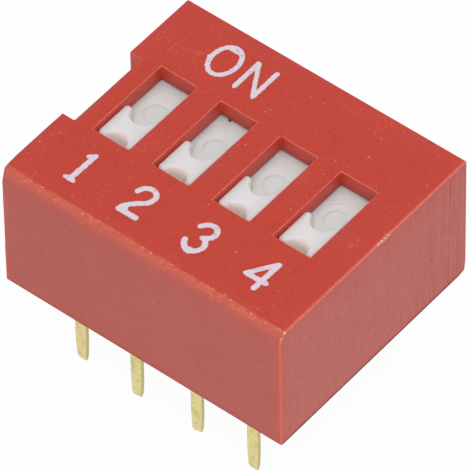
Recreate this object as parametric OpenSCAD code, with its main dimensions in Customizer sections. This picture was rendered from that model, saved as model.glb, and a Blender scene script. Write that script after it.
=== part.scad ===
// Four-way through-hole slide DIP switch.
// Origin: centre of the pin pattern on the board's surface. +Z up, +X along the row, +Y towards ON.
// The sliders stand at OFF, and each moves by travel along +Y to reach ON.

/* [Pin grid] */
// Number of switches in the row
ways = 4; // [1:1:12]
// Distance between neighbouring switches and neighbouring pins
pitch = 2.54; // [2.4:0.02:3]
// Distance between the two rows of pins
row_spacing = 7.62; // [7.4:0.02:7.8]
// Distance of each pin from its switch's centre line, along the row
pin_shift = 0.2; // [0:0.02:0.24]

/* [Cover] */
// Distance from the first switch's centre line to the notched end
left_margin = 2.0; // [1.9:0.02:2.6]
// Distance from the last switch's centre line to the plain end
right_margin = 2.18; // [1.9:0.02:2.6]
// Depth of the body across the two pin rows
body_w = 9.78; // [8.9:0.02:11]
// Height of the body above the board
body_h = 5.38; // [5.2:0.02:6.4]
// Thickness of the cover's top
top_wall = 0.64; // [0.5:0.02:0.74]
// Thickness of the cover's front and back walls
side_wall = 0.4; // [0.3:0.05:0.5]
// Thickness of the cover's end walls
end_wall = 0.75; // [0.65:0.05:0.8]
// Radius of the long edge in front of the numerals
front_edge_r = 0.35; // [0.1:0.05:0.5]
// Radius of the cover's bottom edges at the front and at both ends
foot_edge_r = 0.04; // [0.02:0.01:0.2]
// Radius of the cover's bottom edge at the back
back_foot_r = 0.28; // [0.04:0.01:0.28]
// Radius of the cover's upright edges at the front
front_upright_r = 0.12; // [0.02:0.01:0.2]
// Radius of the cover's upright edges at the back
back_upright_r = 0.04; // [0.02:0.01:0.2]
// Radius of the cover's other top edges
edge_r = 0.04; // [0.02:0.01:0.12]
// Radius of the windows' corners
window_corner_r = 0.03; // [0.02:0.01:0.1]
// Depth of the notch in the left end
notch_d = 0.52; // [0.2:0.02:0.56]
// Length of the notch in the left end
notch_l = 3.48; // [2:0.02:5]
// Distance of the notch's middle from the body's middle, towards ON
notch_shift = 0.08; // [0:0.02:0.3]
// Radius of the notch's inner corners
notch_r = 0.1; // [0.04:0.01:0.16]

/* [Slider] */
// Distance that a slider moves from OFF to ON
travel = 1.7; // [1.3:0.05:1.8]
// Distance of the windows' middle from the body's middle, towards ON
window_shift = 0.2; // [0:0.02:0.26]
// Width of a knob, along the row
knob_w = 1.44; // [1.36:0.02:1.5]
// Length of a knob, along its travel
knob_l = 1.52; // [1.4:0.02:1.6]
// Depth of the knob's top below the cover's top
knob_recess = 0.2; // [0.05:0.05:0.4]
// Radius of the finger scoop in the knob's back
back_scoop_r = 0.48; // [0.3:0.01:0.5]
// Radius of the finger scoop in the knob's front
front_scoop_r = 0.44; // [0.3:0.01:0.5]
// Lean of the scoops' walls, which run outwards on their way down
scoop_lean = 18; // [0:1:20]
// Radius of the rounded edges at a scoop's mouth
scoop_mouth_r = 0.07; // [0.02:0.01:0.12]
// Radius of the knob's upright corners
knob_corner_r = 0.12; // [0.04:0.01:0.16]
// Radius of the knob's top edges
knob_edge_r = 0.08; // [0.03:0.01:0.12]
// Gap between a knob and the sides of its window
knob_side_gap = 0.05; // [0.04:0.01:0.12]
// Gap between a knob and the end of its window
knob_end_gap = 0.17; // [0.05:0.01:0.2]
// Thickness of the slider's plate
plate_t = 0.5; // [0.35:0.05:0.6]
// How far the plate reaches under the cover beside a window
plate_side_lap = 0.13; // [0.1:0.01:0.16]
// How far the plate still reaches under the cover at each end of its travel
plate_end_lap = 0.12; // [0.05:0.01:0.18]
// Radius of the round ejector marks on the plate
mark_r = 0.46; // [0.3:0.02:0.5]
// Depth of the ejector marks
mark_d = 0.05; // [0.02:0.01:0.08]
// Distance of an ejector mark from the knob's middle
mark_reach = 1.36; // [1.34:0.02:1.6]
// Width of the block under the plate that carries the wiper
carrier_w = 1.2; // [1.05:0.05:1.3]
// Length of the block under the plate
carrier_l = 3.0; // [2.6:0.1:3.4]

/* [Contacts] */
// Height of the contact faces above the board
contact_z = 2.5; // [2.3:0.05:2.6]
// Thickness of the terminals' strip
strip_t = 0.15; // [0.12:0.01:0.25]
// Inner radius of the terminals' bend
bend_r = 0.15; // [0.08:0.01:0.25]
// Width of the contact faces
pad_w = 1.0; // [0.95:0.05:1.2]
// Width of the pins
pin_w = 0.48; // [0.4:0.02:0.6]
// Width of the pins at the tip
pin_tip_w = 0.36; // [0.2:0.01:0.38]
// Length of the pins below the board's surface
pin_l = 3.5; // [2.8:0.1:4]
// Length of the pins' curved taper
pin_taper_l = 1.25; // [0.6:0.05:1.6]
// Chamfer at the pins' tip, across the strip
pin_tip_chamfer = 0.04; // [0.02:0.01:0.05]
// Height of the terminals' shoulder above the board
shoulder_z = 1.5; // [1.2:0.05:1.6]
// Height of the wiper from the contact faces to the slider
wiper_h = 0.8; // [0.7:0.02:0.9]
// Thickness of the wiper's spring strip
wiper_t = 0.12; // [0.08:0.01:0.14]
// Width of the wiper
wiper_w = 0.9; // [0.7:0.02:0.94]
// Distance between the wiper's two contact lines
wiper_span = 2.4; // [2.2:0.05:2.7]
// Slope of the wiper's arms
arm_slope = 50; // [40:1:55]
// Width of the slit that splits each arm into two fingers
finger_slit = 0.16; // [0.1:0.02:0.24]
// How far a contact face reaches past a wiper's contact line
contact_lap = 0.25; // [0.15:0.05:0.3]

/* [Base and seal] */
// Depth of the sealing resin's face above the board
seal_z = 0.25; // [0.1:0.05:0.35]
// Thickness of the sealing resin
seal_t = 0.35; // [0.2:0.05:0.45]
// Gap between the base and the cover's walls
base_fit = 0.02; // [0.01:0.01:0.04]
// Gap between the terminals and their seats in the base
terminal_fit = 0.01; // [0.005:0.005:0.02]
// Gap between a slider and the sides of its channel
channel_gap = 0.06; // [0.03:0.01:0.08]
// Gap above and below the slider's plate
slide_play = 0.05; // [0.03:0.01:0.08]
// Gap between the plate and the end of its channel
stop_gap = 0.05; // [0.02:0.01:0.08]
// Gap between a wiper and the contact faces
contact_gap = 0.01; // [0.01:0.01:0.03]

/* [Hidden] */
function switch_x(i) = (i - (ways + 1) / 2) * pitch - pin_shift;

body_l = left_margin + (ways - 1) * pitch + right_margin;
left_x = switch_x(1) - left_margin;
inner_z = body_h - top_wall;

window_w = knob_w + 2 * knob_side_gap;
window_l = knob_l + travel + 2 * knob_end_gap;
off_y = window_shift - travel / 2;
on_y = off_y + travel;

plate_w = window_w + 2 * plate_side_lap;
plate_l = window_l + travel + 2 * plate_end_lap;
plate_top = inner_z - slide_play;
plate_bottom = plate_top - plate_t;
plate_corner_r = 0.15;
knob_top = body_h - knob_recess;

channel_w = plate_w + 2 * channel_gap;
channel_l = plate_l + travel + 2 * stop_gap;
ledge_z = plate_bottom - slide_play;
well_w = carrier_w + 2 * channel_gap;

base_z = seal_z + seal_t;
base_x = left_x + end_wall + base_fit;
base_l = body_l - 2 * (end_wall + base_fit);
base_w = body_w - 2 * (side_wall + base_fit);

front_pad_end = on_y - wiper_span / 2 + contact_lap;
rear_pad_end = off_y + wiper_span / 2 + contact_lap;

carrier_z = contact_z + wiper_h;
carrier_corner_r = 0.1;
peg_r = 0.17;
peg_fit = 0.02;
peg_head_r = 0.28;
peg_head_h = 0.08;
wiper_bend_r = 0.2;
shoe_r = 0.24;
shoe_curl = 60;
arm_join = 0.005;

past = 1;
round_fn = 48;

cover_red = [0.76, 0.20, 0.15];
base_black = [0.10, 0.10, 0.11];
resin_amber = [0.42, 0.27, 0.13];
slider_white = [0.90, 0.89, 0.86];
terminal_gold = [0.86, 0.78, 0.50];
wiper_gold = [0.84, 0.68, 0.36];

// Extrudes a profile drawn as (y, z) along X, centred on x = 0.
module along_x(length) {
    rotate([90, 0, 90]) linear_extrude(length, center = true) children();
}

// Extrudes a profile drawn as (x, z) along Y, centred on y = 0.
module along_y(length) {
    rotate([90, 0, 0]) linear_extrude(length, center = true) children();
}

// What a fillet of radius r takes off a corner at the origin that opens towards +x and +y.
module corner_waste(r) {
    difference() {
        translate([-past, -past]) square(past + r);
        translate([r, r]) circle(r, $fn = round_fn);
    }
}

// Rectangle from the origin, with the radii given anticlockwise from the corner at the origin.
module rounded_rect(size, radii) {
    corners = [[0, 0], [size[0], 0], size, [0, size[1]]];
    difference() {
        square(size);
        for (k = [0:3])
            if (radii[k] > 0) translate(corners[k]) rotate(90 * k) corner_waste(radii[k]);
    }
}

// Part of a ring of strip, between two angles less than 180 degrees apart.
module strip_arc(r_mid, t, from, to) {
    reach = 3 * r_mid;
    middle = (from + to) / 2;
    intersection() {
        difference() {
            circle(r_mid + t / 2, $fn = round_fn);
            circle(r_mid - t / 2, $fn = round_fn);
        }
        polygon([
            [0, 0],
            reach * [cos(from), sin(from)],
            reach * [cos(middle), sin(middle)],
            reach * [cos(to), sin(to)]
        ]);
    }
}

// ---- Cover ----

module cover_block() {
    mid_x = left_x + body_l / 2;
    intersection() {
        translate([mid_x, 0, 0]) along_x(body_l)
            translate([-body_w / 2, 0])
                rounded_rect([body_w, body_h], [foot_edge_r, back_foot_r, edge_r, front_edge_r]);
        translate([left_x, 0, 0]) along_y(body_w)
            rounded_rect([body_l, body_h], [foot_edge_r, foot_edge_r, edge_r, edge_r]);
        translate([left_x, -body_w / 2, 0]) linear_extrude(body_h)
            rounded_rect([body_l, body_w], [front_upright_r, front_upright_r, back_upright_r, back_upright_r]);
    }
}

module cover_cavity() {
    translate([left_x + end_wall, -body_w / 2 + side_wall, -past])
        cube([body_l - 2 * end_wall, body_w - 2 * side_wall, inner_z + past]);
}

module window(i) {
    translate([switch_x(i) - window_w / 2, window_shift - window_l / 2, inner_z - past])
        linear_extrude(top_wall + 2 * past)
            rounded_rect([window_w, window_l], [for (k = [0:3]) window_corner_r]);
}

module end_notch() {
    translate([left_x, notch_shift, -past]) linear_extrude(body_h + 2 * past) {
        translate([-past, -notch_l / 2])
            rounded_rect([past + notch_d, notch_l], [0, notch_r, notch_r, 0]);
        for (side = [-1, 1])
            translate([0, side * notch_l / 2]) scale([1, side]) corner_waste(edge_r);
    }
}

module cover() {
    color(cover_red) difference() {
        cover_block();
        cover_cavity();
        for (i = [1:ways]) window(i);
        end_notch();
    }
}

// ---- Base ----

// The stepped channel that a slider runs in: a wide part for the plate and a narrow well for the carrier.
module slider_channel(i) {
    translate([switch_x(i), window_shift - channel_l / 2, 0]) {
        translate([-channel_w / 2, 0, ledge_z])
            cube([channel_w, channel_l, inner_z - ledge_z + past]);
        translate([-well_w / 2, 0, contact_z])
            cube([well_w, channel_l, ledge_z - contact_z + past]);
    }
}

module base() {
    color(base_black) difference() {
        translate([base_x, -base_w / 2, base_z]) cube([base_l, base_w, inner_z - base_z]);
        for (i = [1:ways]) {
            slider_channel(i);
            for (side = [-1, 1]) terminal_shape(i, side, terminal_fit);
        }
    }
}

module potting_seal() {
    color(resin_amber) difference() {
        translate([left_x + end_wall, -body_w / 2 + side_wall, seal_z])
            cube([body_l - 2 * end_wall, body_w - 2 * side_wall, seal_t]);
        for (i = [1:ways], side = [-1, 1]) terminal_shape(i, side);
    }
}

// ---- Terminals ----

// Side view (y, z) of a terminal whose pin is on the +y side: pin, bend and contact face.
module terminal_side_view(pad_end, grow) {
    outer_y = row_spacing / 2 + strip_t / 2;
    inner_y = outer_y - strip_t;
    bend_y = inner_y - bend_r;
    bend_z = contact_z - strip_t - bend_r;
    polygon([
        [inner_y - grow, bend_z],
        [inner_y - grow, -pin_l + pin_tip_chamfer],
        [inner_y + pin_tip_chamfer, -pin_l],
        [outer_y - pin_tip_chamfer, -pin_l],
        [outer_y + grow, -pin_l + pin_tip_chamfer],
        [outer_y + grow, bend_z]
    ]);
    translate([bend_y, bend_z]) strip_arc(bend_r + strip_t / 2, strip_t + 2 * grow, 0, 90);
    translate([pad_end - grow, contact_z - strip_t - grow])
        square([bend_y - pad_end + grow, strip_t + 2 * grow]);
}

// One edge of a terminal in the front view, from the contact's corner down over the shoulder and along
// the pin to its curved taper. The pin stands offset from the contact's middle, towards this edge.
function terminal_edge(offset, grow, steps = 6) =
    let (
        pad = pad_w / 2 + grow,
        pin = offset + pin_w / 2 + grow,
        narrowing = (pin_w - pin_tip_w) / 2
    )
    concat(
        [[pad, contact_z + past], [pad, shoulder_z], [pin, shoulder_z - (pad - pin)]],
        [for (k = [0:steps]) [pin - narrowing * pow(k / steps, 2), -pin_l + pin_taper_l * (1 - k / steps)]]
    );

// Front view (x, z) of a terminal: the contact's width, the shoulder, the pin and its curved taper.
module terminal_front_view(grow) {
    right = terminal_edge(pin_shift, grow);
    left = terminal_edge(-pin_shift, grow);
    polygon(concat(right, [for (k = [len(left) - 1:-1:0]) [-left[k][0], left[k][1]]]));
}

module terminal_shape(i, side, grow = 0) {
    pad_end = side < 0 ? -front_pad_end : rear_pad_end;
    translate([switch_x(i), 0, 0]) mirror([0, side < 0 ? 1 : 0, 0]) intersection() {
        along_x(pad_w + 2 * grow) terminal_side_view(pad_end, grow);
        along_y(2 * body_w) terminal_front_view(grow);
    }
}

module terminal(i, side) {
    color(terminal_gold) terminal_shape(i, side);
}

// ---- Sliders ----

// Plan of a finger scoop that opens towards +y at y = 0, with both edges of its mouth rounded.
module scoop_plan(r) {
    mouth_y = r * scoop_mouth_r / (r + scoop_mouth_r);
    mouth_x = sqrt(r * (r + 2 * scoop_mouth_r));
    circle(r, $fn = round_fn);
    difference() {
        translate([-mouth_x, -mouth_y]) square([2 * mouth_x, mouth_y + past]);
        for (side = [-1, 1])
            translate([side * mouth_x, -scoop_mouth_r]) circle(scoop_mouth_r, $fn = round_fn);
    }
}

// A finger scoop in the knob's end at +y, down to the given height.
module finger_scoop(r, down_to) {
    depth = knob_top - down_to;
    translate([0, knob_l / 2, knob_top]) rotate([scoop_lean, 0, 0])
        translate([0, 0, -depth]) linear_extrude(depth + past) scoop_plan(r);
}

module knob() {
    foot = plate_top - plate_t / 2;
    difference() {
        intersection() {
            translate([-knob_w / 2, -knob_l / 2, foot]) linear_extrude(knob_top - foot)
                rounded_rect([knob_w, knob_l], [for (k = [0:3]) knob_corner_r]);
            along_x(knob_w) translate([-knob_l / 2, foot])
                rounded_rect([knob_l, knob_top - foot], [0, 0, knob_edge_r, knob_edge_r]);
            along_y(knob_l) translate([-knob_w / 2, foot])
                rounded_rect([knob_w, knob_top - foot], [0, 0, knob_edge_r, knob_edge_r]);
        }
        finger_scoop(back_scoop_r, foot);
        mirror([0, 1, 0]) finger_scoop(front_scoop_r, foot);
    }
}

module slider_plate() {
    difference() {
        translate([-plate_w / 2, -plate_l / 2, plate_bottom]) linear_extrude(plate_t)
            rounded_rect([plate_w, plate_l], [for (k = [0:3]) plate_corner_r]);
        for (side = [-1, 1])
            translate([0, side * mark_reach, plate_top - mark_d])
                cylinder(mark_d + past, mark_r, mark_r, $fn = round_fn);
    }
}

// The block under the plate, with the staked peg that holds the wiper.
module slider_carrier() {
    translate([-carrier_w / 2, -carrier_l / 2, carrier_z])
        linear_extrude(plate_bottom - carrier_z + plate_t / 2)
            rounded_rect([carrier_w, carrier_l], [for (k = [0:3]) carrier_corner_r]);
    peg_l = wiper_t + peg_fit + peg_head_h;
    translate([0, 0, carrier_z - peg_l]) {
        cylinder(peg_l + past / 10, peg_r, peg_r, $fn = round_fn);
        cylinder(peg_head_h, peg_head_r, peg_head_r, $fn = round_fn);
    }
}

module slider(i) {
    color(slider_white) translate([switch_x(i), off_y, 0]) {
        knob();
        slider_plate();
        slider_carrier();
    }
}

// ---- Wipers ----

// Half of the wiper's side view (y, z), from its middle to the curled shoe on the +y side.
module wiper_half_view() {
    bridge_z = carrier_z - wiper_t / 2;
    shoe_z = contact_z + contact_gap + shoe_r + wiper_t / 2;
    arm_top_z = bridge_z - wiper_bend_r * (1 - cos(arm_slope));
    arm_foot_z = shoe_z - shoe_r * cos(arm_slope);
    arm_l = (arm_top_z - arm_foot_z) / sin(arm_slope);
    arm_run = arm_l * cos(arm_slope);
    bridge_end = wiper_span / 2 - (shoe_r + wiper_bend_r) * sin(arm_slope) - arm_run;
    translate([-past / 10, bridge_z - wiper_t / 2]) square([bridge_end + past / 10, wiper_t]);
    translate([bridge_end, bridge_z - wiper_bend_r])
        strip_arc(wiper_bend_r, wiper_t, 90 - arm_slope, 90);
    translate([bridge_end + wiper_bend_r * sin(arm_slope), arm_top_z])
        rotate(-arm_slope) translate([-arm_join, -wiper_t / 2]) square([arm_l + 2 * arm_join, wiper_t]);
    translate([wiper_span / 2, shoe_z])
        strip_arc(shoe_r, wiper_t, -90 - arm_slope, -90 + shoe_curl);
}

module wiper(i) {
    slit_from = wiper_bend_r + peg_head_r;
    color(wiper_gold) translate([switch_x(i), off_y, 0]) difference() {
        along_x(wiper_w) {
            wiper_half_view();
            mirror([1, 0]) wiper_half_view();
        }
        translate([0, 0, carrier_z - past])
            cylinder(2 * past, peg_r + peg_fit, peg_r + peg_fit, $fn = round_fn);
        for (side = [-1, 1])
            translate([-finger_slit / 2, side < 0 ? -slit_from - wiper_span : slit_from, contact_z - past])
                cube([finger_slit, wiper_span, wiper_h + 2 * past]);
    }
}

// ---- Nodes ----

cover();
base();
potting_seal();
for (i = [1:ways]) {
    slider(i);
    wiper(i);
    terminal(i, -1);
    terminal(i, 1);
}
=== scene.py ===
"""Looks for the four-way slide DIP switch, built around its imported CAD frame.

Lengths in the classes are millimetres in the CAD's frame: +X along the row, +Y towards ON, +Z away
from the board. Meshes turn them into metres when they are made.
"""

import logging
import math
from dataclasses import dataclass, field
from enum import Enum
from typing import Iterable, Optional, Sequence, Union

import bmesh
import bpy
import numpy as np
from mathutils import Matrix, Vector, noise
from mathutils.geometry import tessellate_polygon


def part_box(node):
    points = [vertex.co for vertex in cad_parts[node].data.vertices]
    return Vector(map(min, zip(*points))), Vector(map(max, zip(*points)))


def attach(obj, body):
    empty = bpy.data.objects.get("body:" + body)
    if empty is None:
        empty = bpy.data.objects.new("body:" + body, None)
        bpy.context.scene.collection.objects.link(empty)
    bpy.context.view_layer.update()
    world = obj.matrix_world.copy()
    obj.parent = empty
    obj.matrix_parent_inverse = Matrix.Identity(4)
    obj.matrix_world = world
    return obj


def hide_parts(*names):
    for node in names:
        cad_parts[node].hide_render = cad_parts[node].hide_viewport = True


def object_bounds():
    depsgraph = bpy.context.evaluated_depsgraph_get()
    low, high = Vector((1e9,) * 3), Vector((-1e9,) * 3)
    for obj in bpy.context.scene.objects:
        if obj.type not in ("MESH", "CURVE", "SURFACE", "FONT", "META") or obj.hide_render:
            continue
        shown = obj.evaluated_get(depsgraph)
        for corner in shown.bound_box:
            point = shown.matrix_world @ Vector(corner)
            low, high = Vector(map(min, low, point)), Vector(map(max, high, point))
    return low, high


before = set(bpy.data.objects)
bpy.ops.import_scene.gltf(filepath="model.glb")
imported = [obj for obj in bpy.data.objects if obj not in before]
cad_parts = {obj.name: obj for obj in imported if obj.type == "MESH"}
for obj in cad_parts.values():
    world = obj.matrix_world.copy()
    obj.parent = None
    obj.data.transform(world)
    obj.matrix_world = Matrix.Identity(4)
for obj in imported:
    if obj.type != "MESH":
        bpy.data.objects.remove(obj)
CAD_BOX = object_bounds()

LOG = logging.getLogger("dip_switch")
HOUSING = "housing"
WAYS = 4
# The name under which the print's meshes keep how far a point lies inside the outline.
INSET = "inset"
# In metres: one millimetre, and how near two mesh points are welded.
MM = 0.001
WELD = 1e-8
# In millimetres: how near two lengths count as the same, the pins' pitch, and half the rows' spacing.
NEAR = 1e-3
PITCH = 2.54
ROW_Y = 3.81

Colour = tuple[float, float, float]
Point2 = tuple[float, float]
# Where a smooth step leaves 0, and where it reaches 1.
Fade = tuple[float, float]


# ---- Shader expressions ----


class Signal:
    """A shader socket. Arithmetic on it adds Math nodes to its tree."""

    def __init__(self, tree: "ShaderTree", socket: bpy.types.NodeSocket) -> None:
        """Wraps a socket.

        Args:
            tree: the tree that the socket's node is in.
            socket: the output socket that carries the value.
        """
        self.tree = tree
        self.socket = socket

    def _math(self, operation: str, *terms: "Term") -> "Signal":
        """Adds one Math node.

        Args:
            operation: Blender's name of the operation.
            terms: the node's inputs, in order.

        Returns:
            The node's result.
        """
        made = self.tree.node("ShaderNodeMath", {"operation": operation}, dict(enumerate(terms)))
        return Signal(self.tree, made.outputs[0])

    def __add__(self, other: "Term") -> "Signal":
        """This value plus another."""
        return self._math("ADD", self, other)

    __radd__ = __add__

    def __sub__(self, other: "Term") -> "Signal":
        """This value less another."""
        return self._math("SUBTRACT", self, other)

    def __rsub__(self, other: "Term") -> "Signal":
        """Another value less this one."""
        return self._math("SUBTRACT", other, self)

    def __mul__(self, other: "Term") -> "Signal":
        """This value times another."""
        return self._math("MULTIPLY", self, other)

    __rmul__ = __mul__

    def __truediv__(self, other: "Term") -> "Signal":
        """This value over another."""
        return self._math("DIVIDE", self, other)

    def __rtruediv__(self, other: "Term") -> "Signal":
        """Another value over this one."""
        return self._math("DIVIDE", other, self)

    def __neg__(self) -> "Signal":
        """The value with its sign turned."""
        return self._math("MULTIPLY", self, -1.0)

    def __abs__(self) -> "Signal":
        """The value's distance from zero."""
        return self._math("ABSOLUTE", self)

    def at_least(self, other: "Term") -> "Signal":
        """The greater of this value and another."""
        return self._math("MAXIMUM", self, other)

    def at_most(self, other: "Term") -> "Signal":
        """The smaller of this value and another."""
        return self._math("MINIMUM", self, other)

    def rise(self, start: float, end: float) -> "Signal":
        """A smooth step from 0 to 1.

        Args:
            start: the value at which the step leaves 0.
            end: the value at which it reaches 1; it may be below start.

        Returns:
            The step, kept between 0 and 1.
        """
        made = self.tree.node(
            "ShaderNodeMapRange",
            {"interpolation_type": "SMOOTHSTEP"},
            {"Value": self, "From Min": start, "From Max": end},
        )
        return Signal(self.tree, made.outputs[0])

    def pingpong(self, limit: float) -> "Signal":
        """The value folded back and forth between 0 and a limit."""
        return self._math("PINGPONG", self, limit)

    def spike(self, centre: float, width: float) -> "Signal":
        """A smooth bump of height 1.

        Args:
            centre: the value at the bump's top.
            width: the distance on each side at which it has fallen to 0.

        Returns:
            The bump.
        """
        return abs(self - centre).rise(width, 0.0)


Term = Union[Signal, float]


class ShaderTree:
    """The node tree of a material or a world, with one way to add a node."""

    def __init__(self, owner: Union[bpy.types.Material, bpy.types.World]) -> None:
        """Empties the owner's tree.

        Args:
            owner: the new material or world.
        """
        owner.use_nodes = True
        self.owner = owner
        self.tree = owner.node_tree
        self.tree.nodes.clear()

    @classmethod
    def for_material(cls, name: str) -> "ShaderTree":
        """The tree of a new material of that name."""
        return cls(bpy.data.materials.new(name))

    def node(
        self,
        kind: str,
        settings: Optional[dict[str, object]] = None,
        inputs: Optional[dict[Union[str, int], object]] = None,
    ) -> bpy.types.Node:
        """Adds a node.

        Args:
            kind: Blender's type name.
            settings: the node's own settings, set before its sockets.
            inputs: a value, a colour or a Signal for each socket, by name or number.

        Returns:
            The node.
        """
        made = self.tree.nodes.new(kind)
        for name, value in (settings or {}).items():
            setattr(made, name, value)
        for key, value in (inputs or {}).items():
            socket = made.inputs[key]
            if isinstance(value, Signal):
                self.tree.links.new(value.socket, socket)
            elif isinstance(value, bpy.types.NodeSocket):
                self.tree.links.new(value, socket)
            elif socket.type == "RGBA":
                socket.default_value = (*value, 1.0)
            else:
                socket.default_value = value
        return made

    def place(self) -> Signal:
        """Reads the point on the surface.

        Returns:
            The point, in millimetres.
        """
        raw = self.node("ShaderNodeTexCoord").outputs["Object"]
        made = self.node("ShaderNodeVectorMath", {"operation": "SCALE"}, {0: raw, "Scale": 1 / MM})
        return Signal(self, made.outputs[0])

    def facing(self) -> tuple[Signal, Signal, Signal]:
        """The surface's direction, as three values."""
        return self.parts(Signal(self, self.node("ShaderNodeTexCoord").outputs["Normal"]))

    def stored(self, name: str) -> Signal:
        """A value that the mesh keeps at its points."""
        made = self.node("ShaderNodeAttribute", {"attribute_name": name})
        return Signal(self, made.outputs["Fac"])

    def parts(self, vector: Signal) -> tuple[Signal, Signal, Signal]:
        """Splits a vector.

        Args:
            vector: the vector.

        Returns:
            Its x, y and z.
        """
        x, y, z = self.node("ShaderNodeSeparateXYZ", None, {0: vector}).outputs
        return Signal(self, x), Signal(self, y), Signal(self, z)

    def stretched(self, vector: Signal, factors: Colour) -> Signal:
        """Scales a vector by a factor along each axis.

        Args:
            vector: the vector.
            factors: the three factors.

        Returns:
            The scaled vector.
        """
        made = self.node("ShaderNodeVectorMath", {"operation": "MULTIPLY"}, {0: vector, 1: factors})
        return Signal(self, made.outputs[0])

    def distance(self, vector: Signal, point: Colour) -> Signal:
        """How far a vector is from a point.

        Args:
            vector: the vector.
            point: the point.

        Returns:
            The distance.
        """
        made = self.node("ShaderNodeVectorMath", {"operation": "DISTANCE"}, {0: vector, 1: point})
        return Signal(self, made.outputs["Value"])

    def grain(self, vector: Signal, per_mm: float, detail: float = 2.0, swirl: float = 0.0) -> Signal:
        """Noise between 0 and 1.

        Args:
            vector: where to read it.
            per_mm: its scale, in features per millimetre.
            detail: how many finer layers it has.
            swirl: how far it is distorted.

        Returns:
            The noise.
        """
        made = self.node(
            "ShaderNodeTexNoise",
            {"noise_dimensions": "3D"},
            {"Vector": vector, "Scale": per_mm, "Detail": detail, "Distortion": swirl},
        )
        return Signal(self, made.outputs["Fac"])

    def blended(self, share: Term, first: object, second: object) -> Signal:
        """Mixes two colours.

        Args:
            share: how much of the second there is, from 0 to 1.
            first: a colour, or a Signal that carries one.
            second: the other colour.

        Returns:
            The mixed colour.
        """
        made = self.node("ShaderNodeMix", {"data_type": "RGBA"}, {0: share, 6: first, 7: second})
        return Signal(self, made.outputs[2])

    def bumped(self, height: Signal, depth: float) -> Signal:
        """A surface direction disturbed by a height.

        Args:
            height: the height, about 0 to 1.
            depth: what a height of 1 stands for, in millimetres.

        Returns:
            The direction, for a Normal socket.
        """
        inputs = {"Height": height, "Distance": depth * MM}
        return Signal(self, self.node("ShaderNodeBump", None, inputs).outputs[0])

    def finish(self, values: dict[Union[str, int], object]) -> bpy.types.Material:
        """Closes the tree with a Principled shader.

        Args:
            values: what goes into the shader's sockets.

        Returns:
            The material.
        """
        shader = self.node("ShaderNodeBsdfPrincipled", None, values)
        self.node("ShaderNodeOutputMaterial", None, {"Surface": shader.outputs[0]})
        return self.owner


# ---- Finishes ----


@dataclass(frozen=True)
class Skin:
    """What the cover's finish reads at a point of the shell: place, direction, depths and noise."""

    tree: ShaderTree
    place: Signal
    x: Signal
    y: Signal
    z: Signal
    ny: Signal
    nz: Signal
    from_top: Signal
    from_front: Signal
    from_right: Signal
    from_side: Signal
    outer: Signal
    upward: Signal
    frosted: Signal
    end_face: Signal
    clouds: Signal
    speckle: Signal
    blotch: Signal
    mottle: Signal


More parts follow.
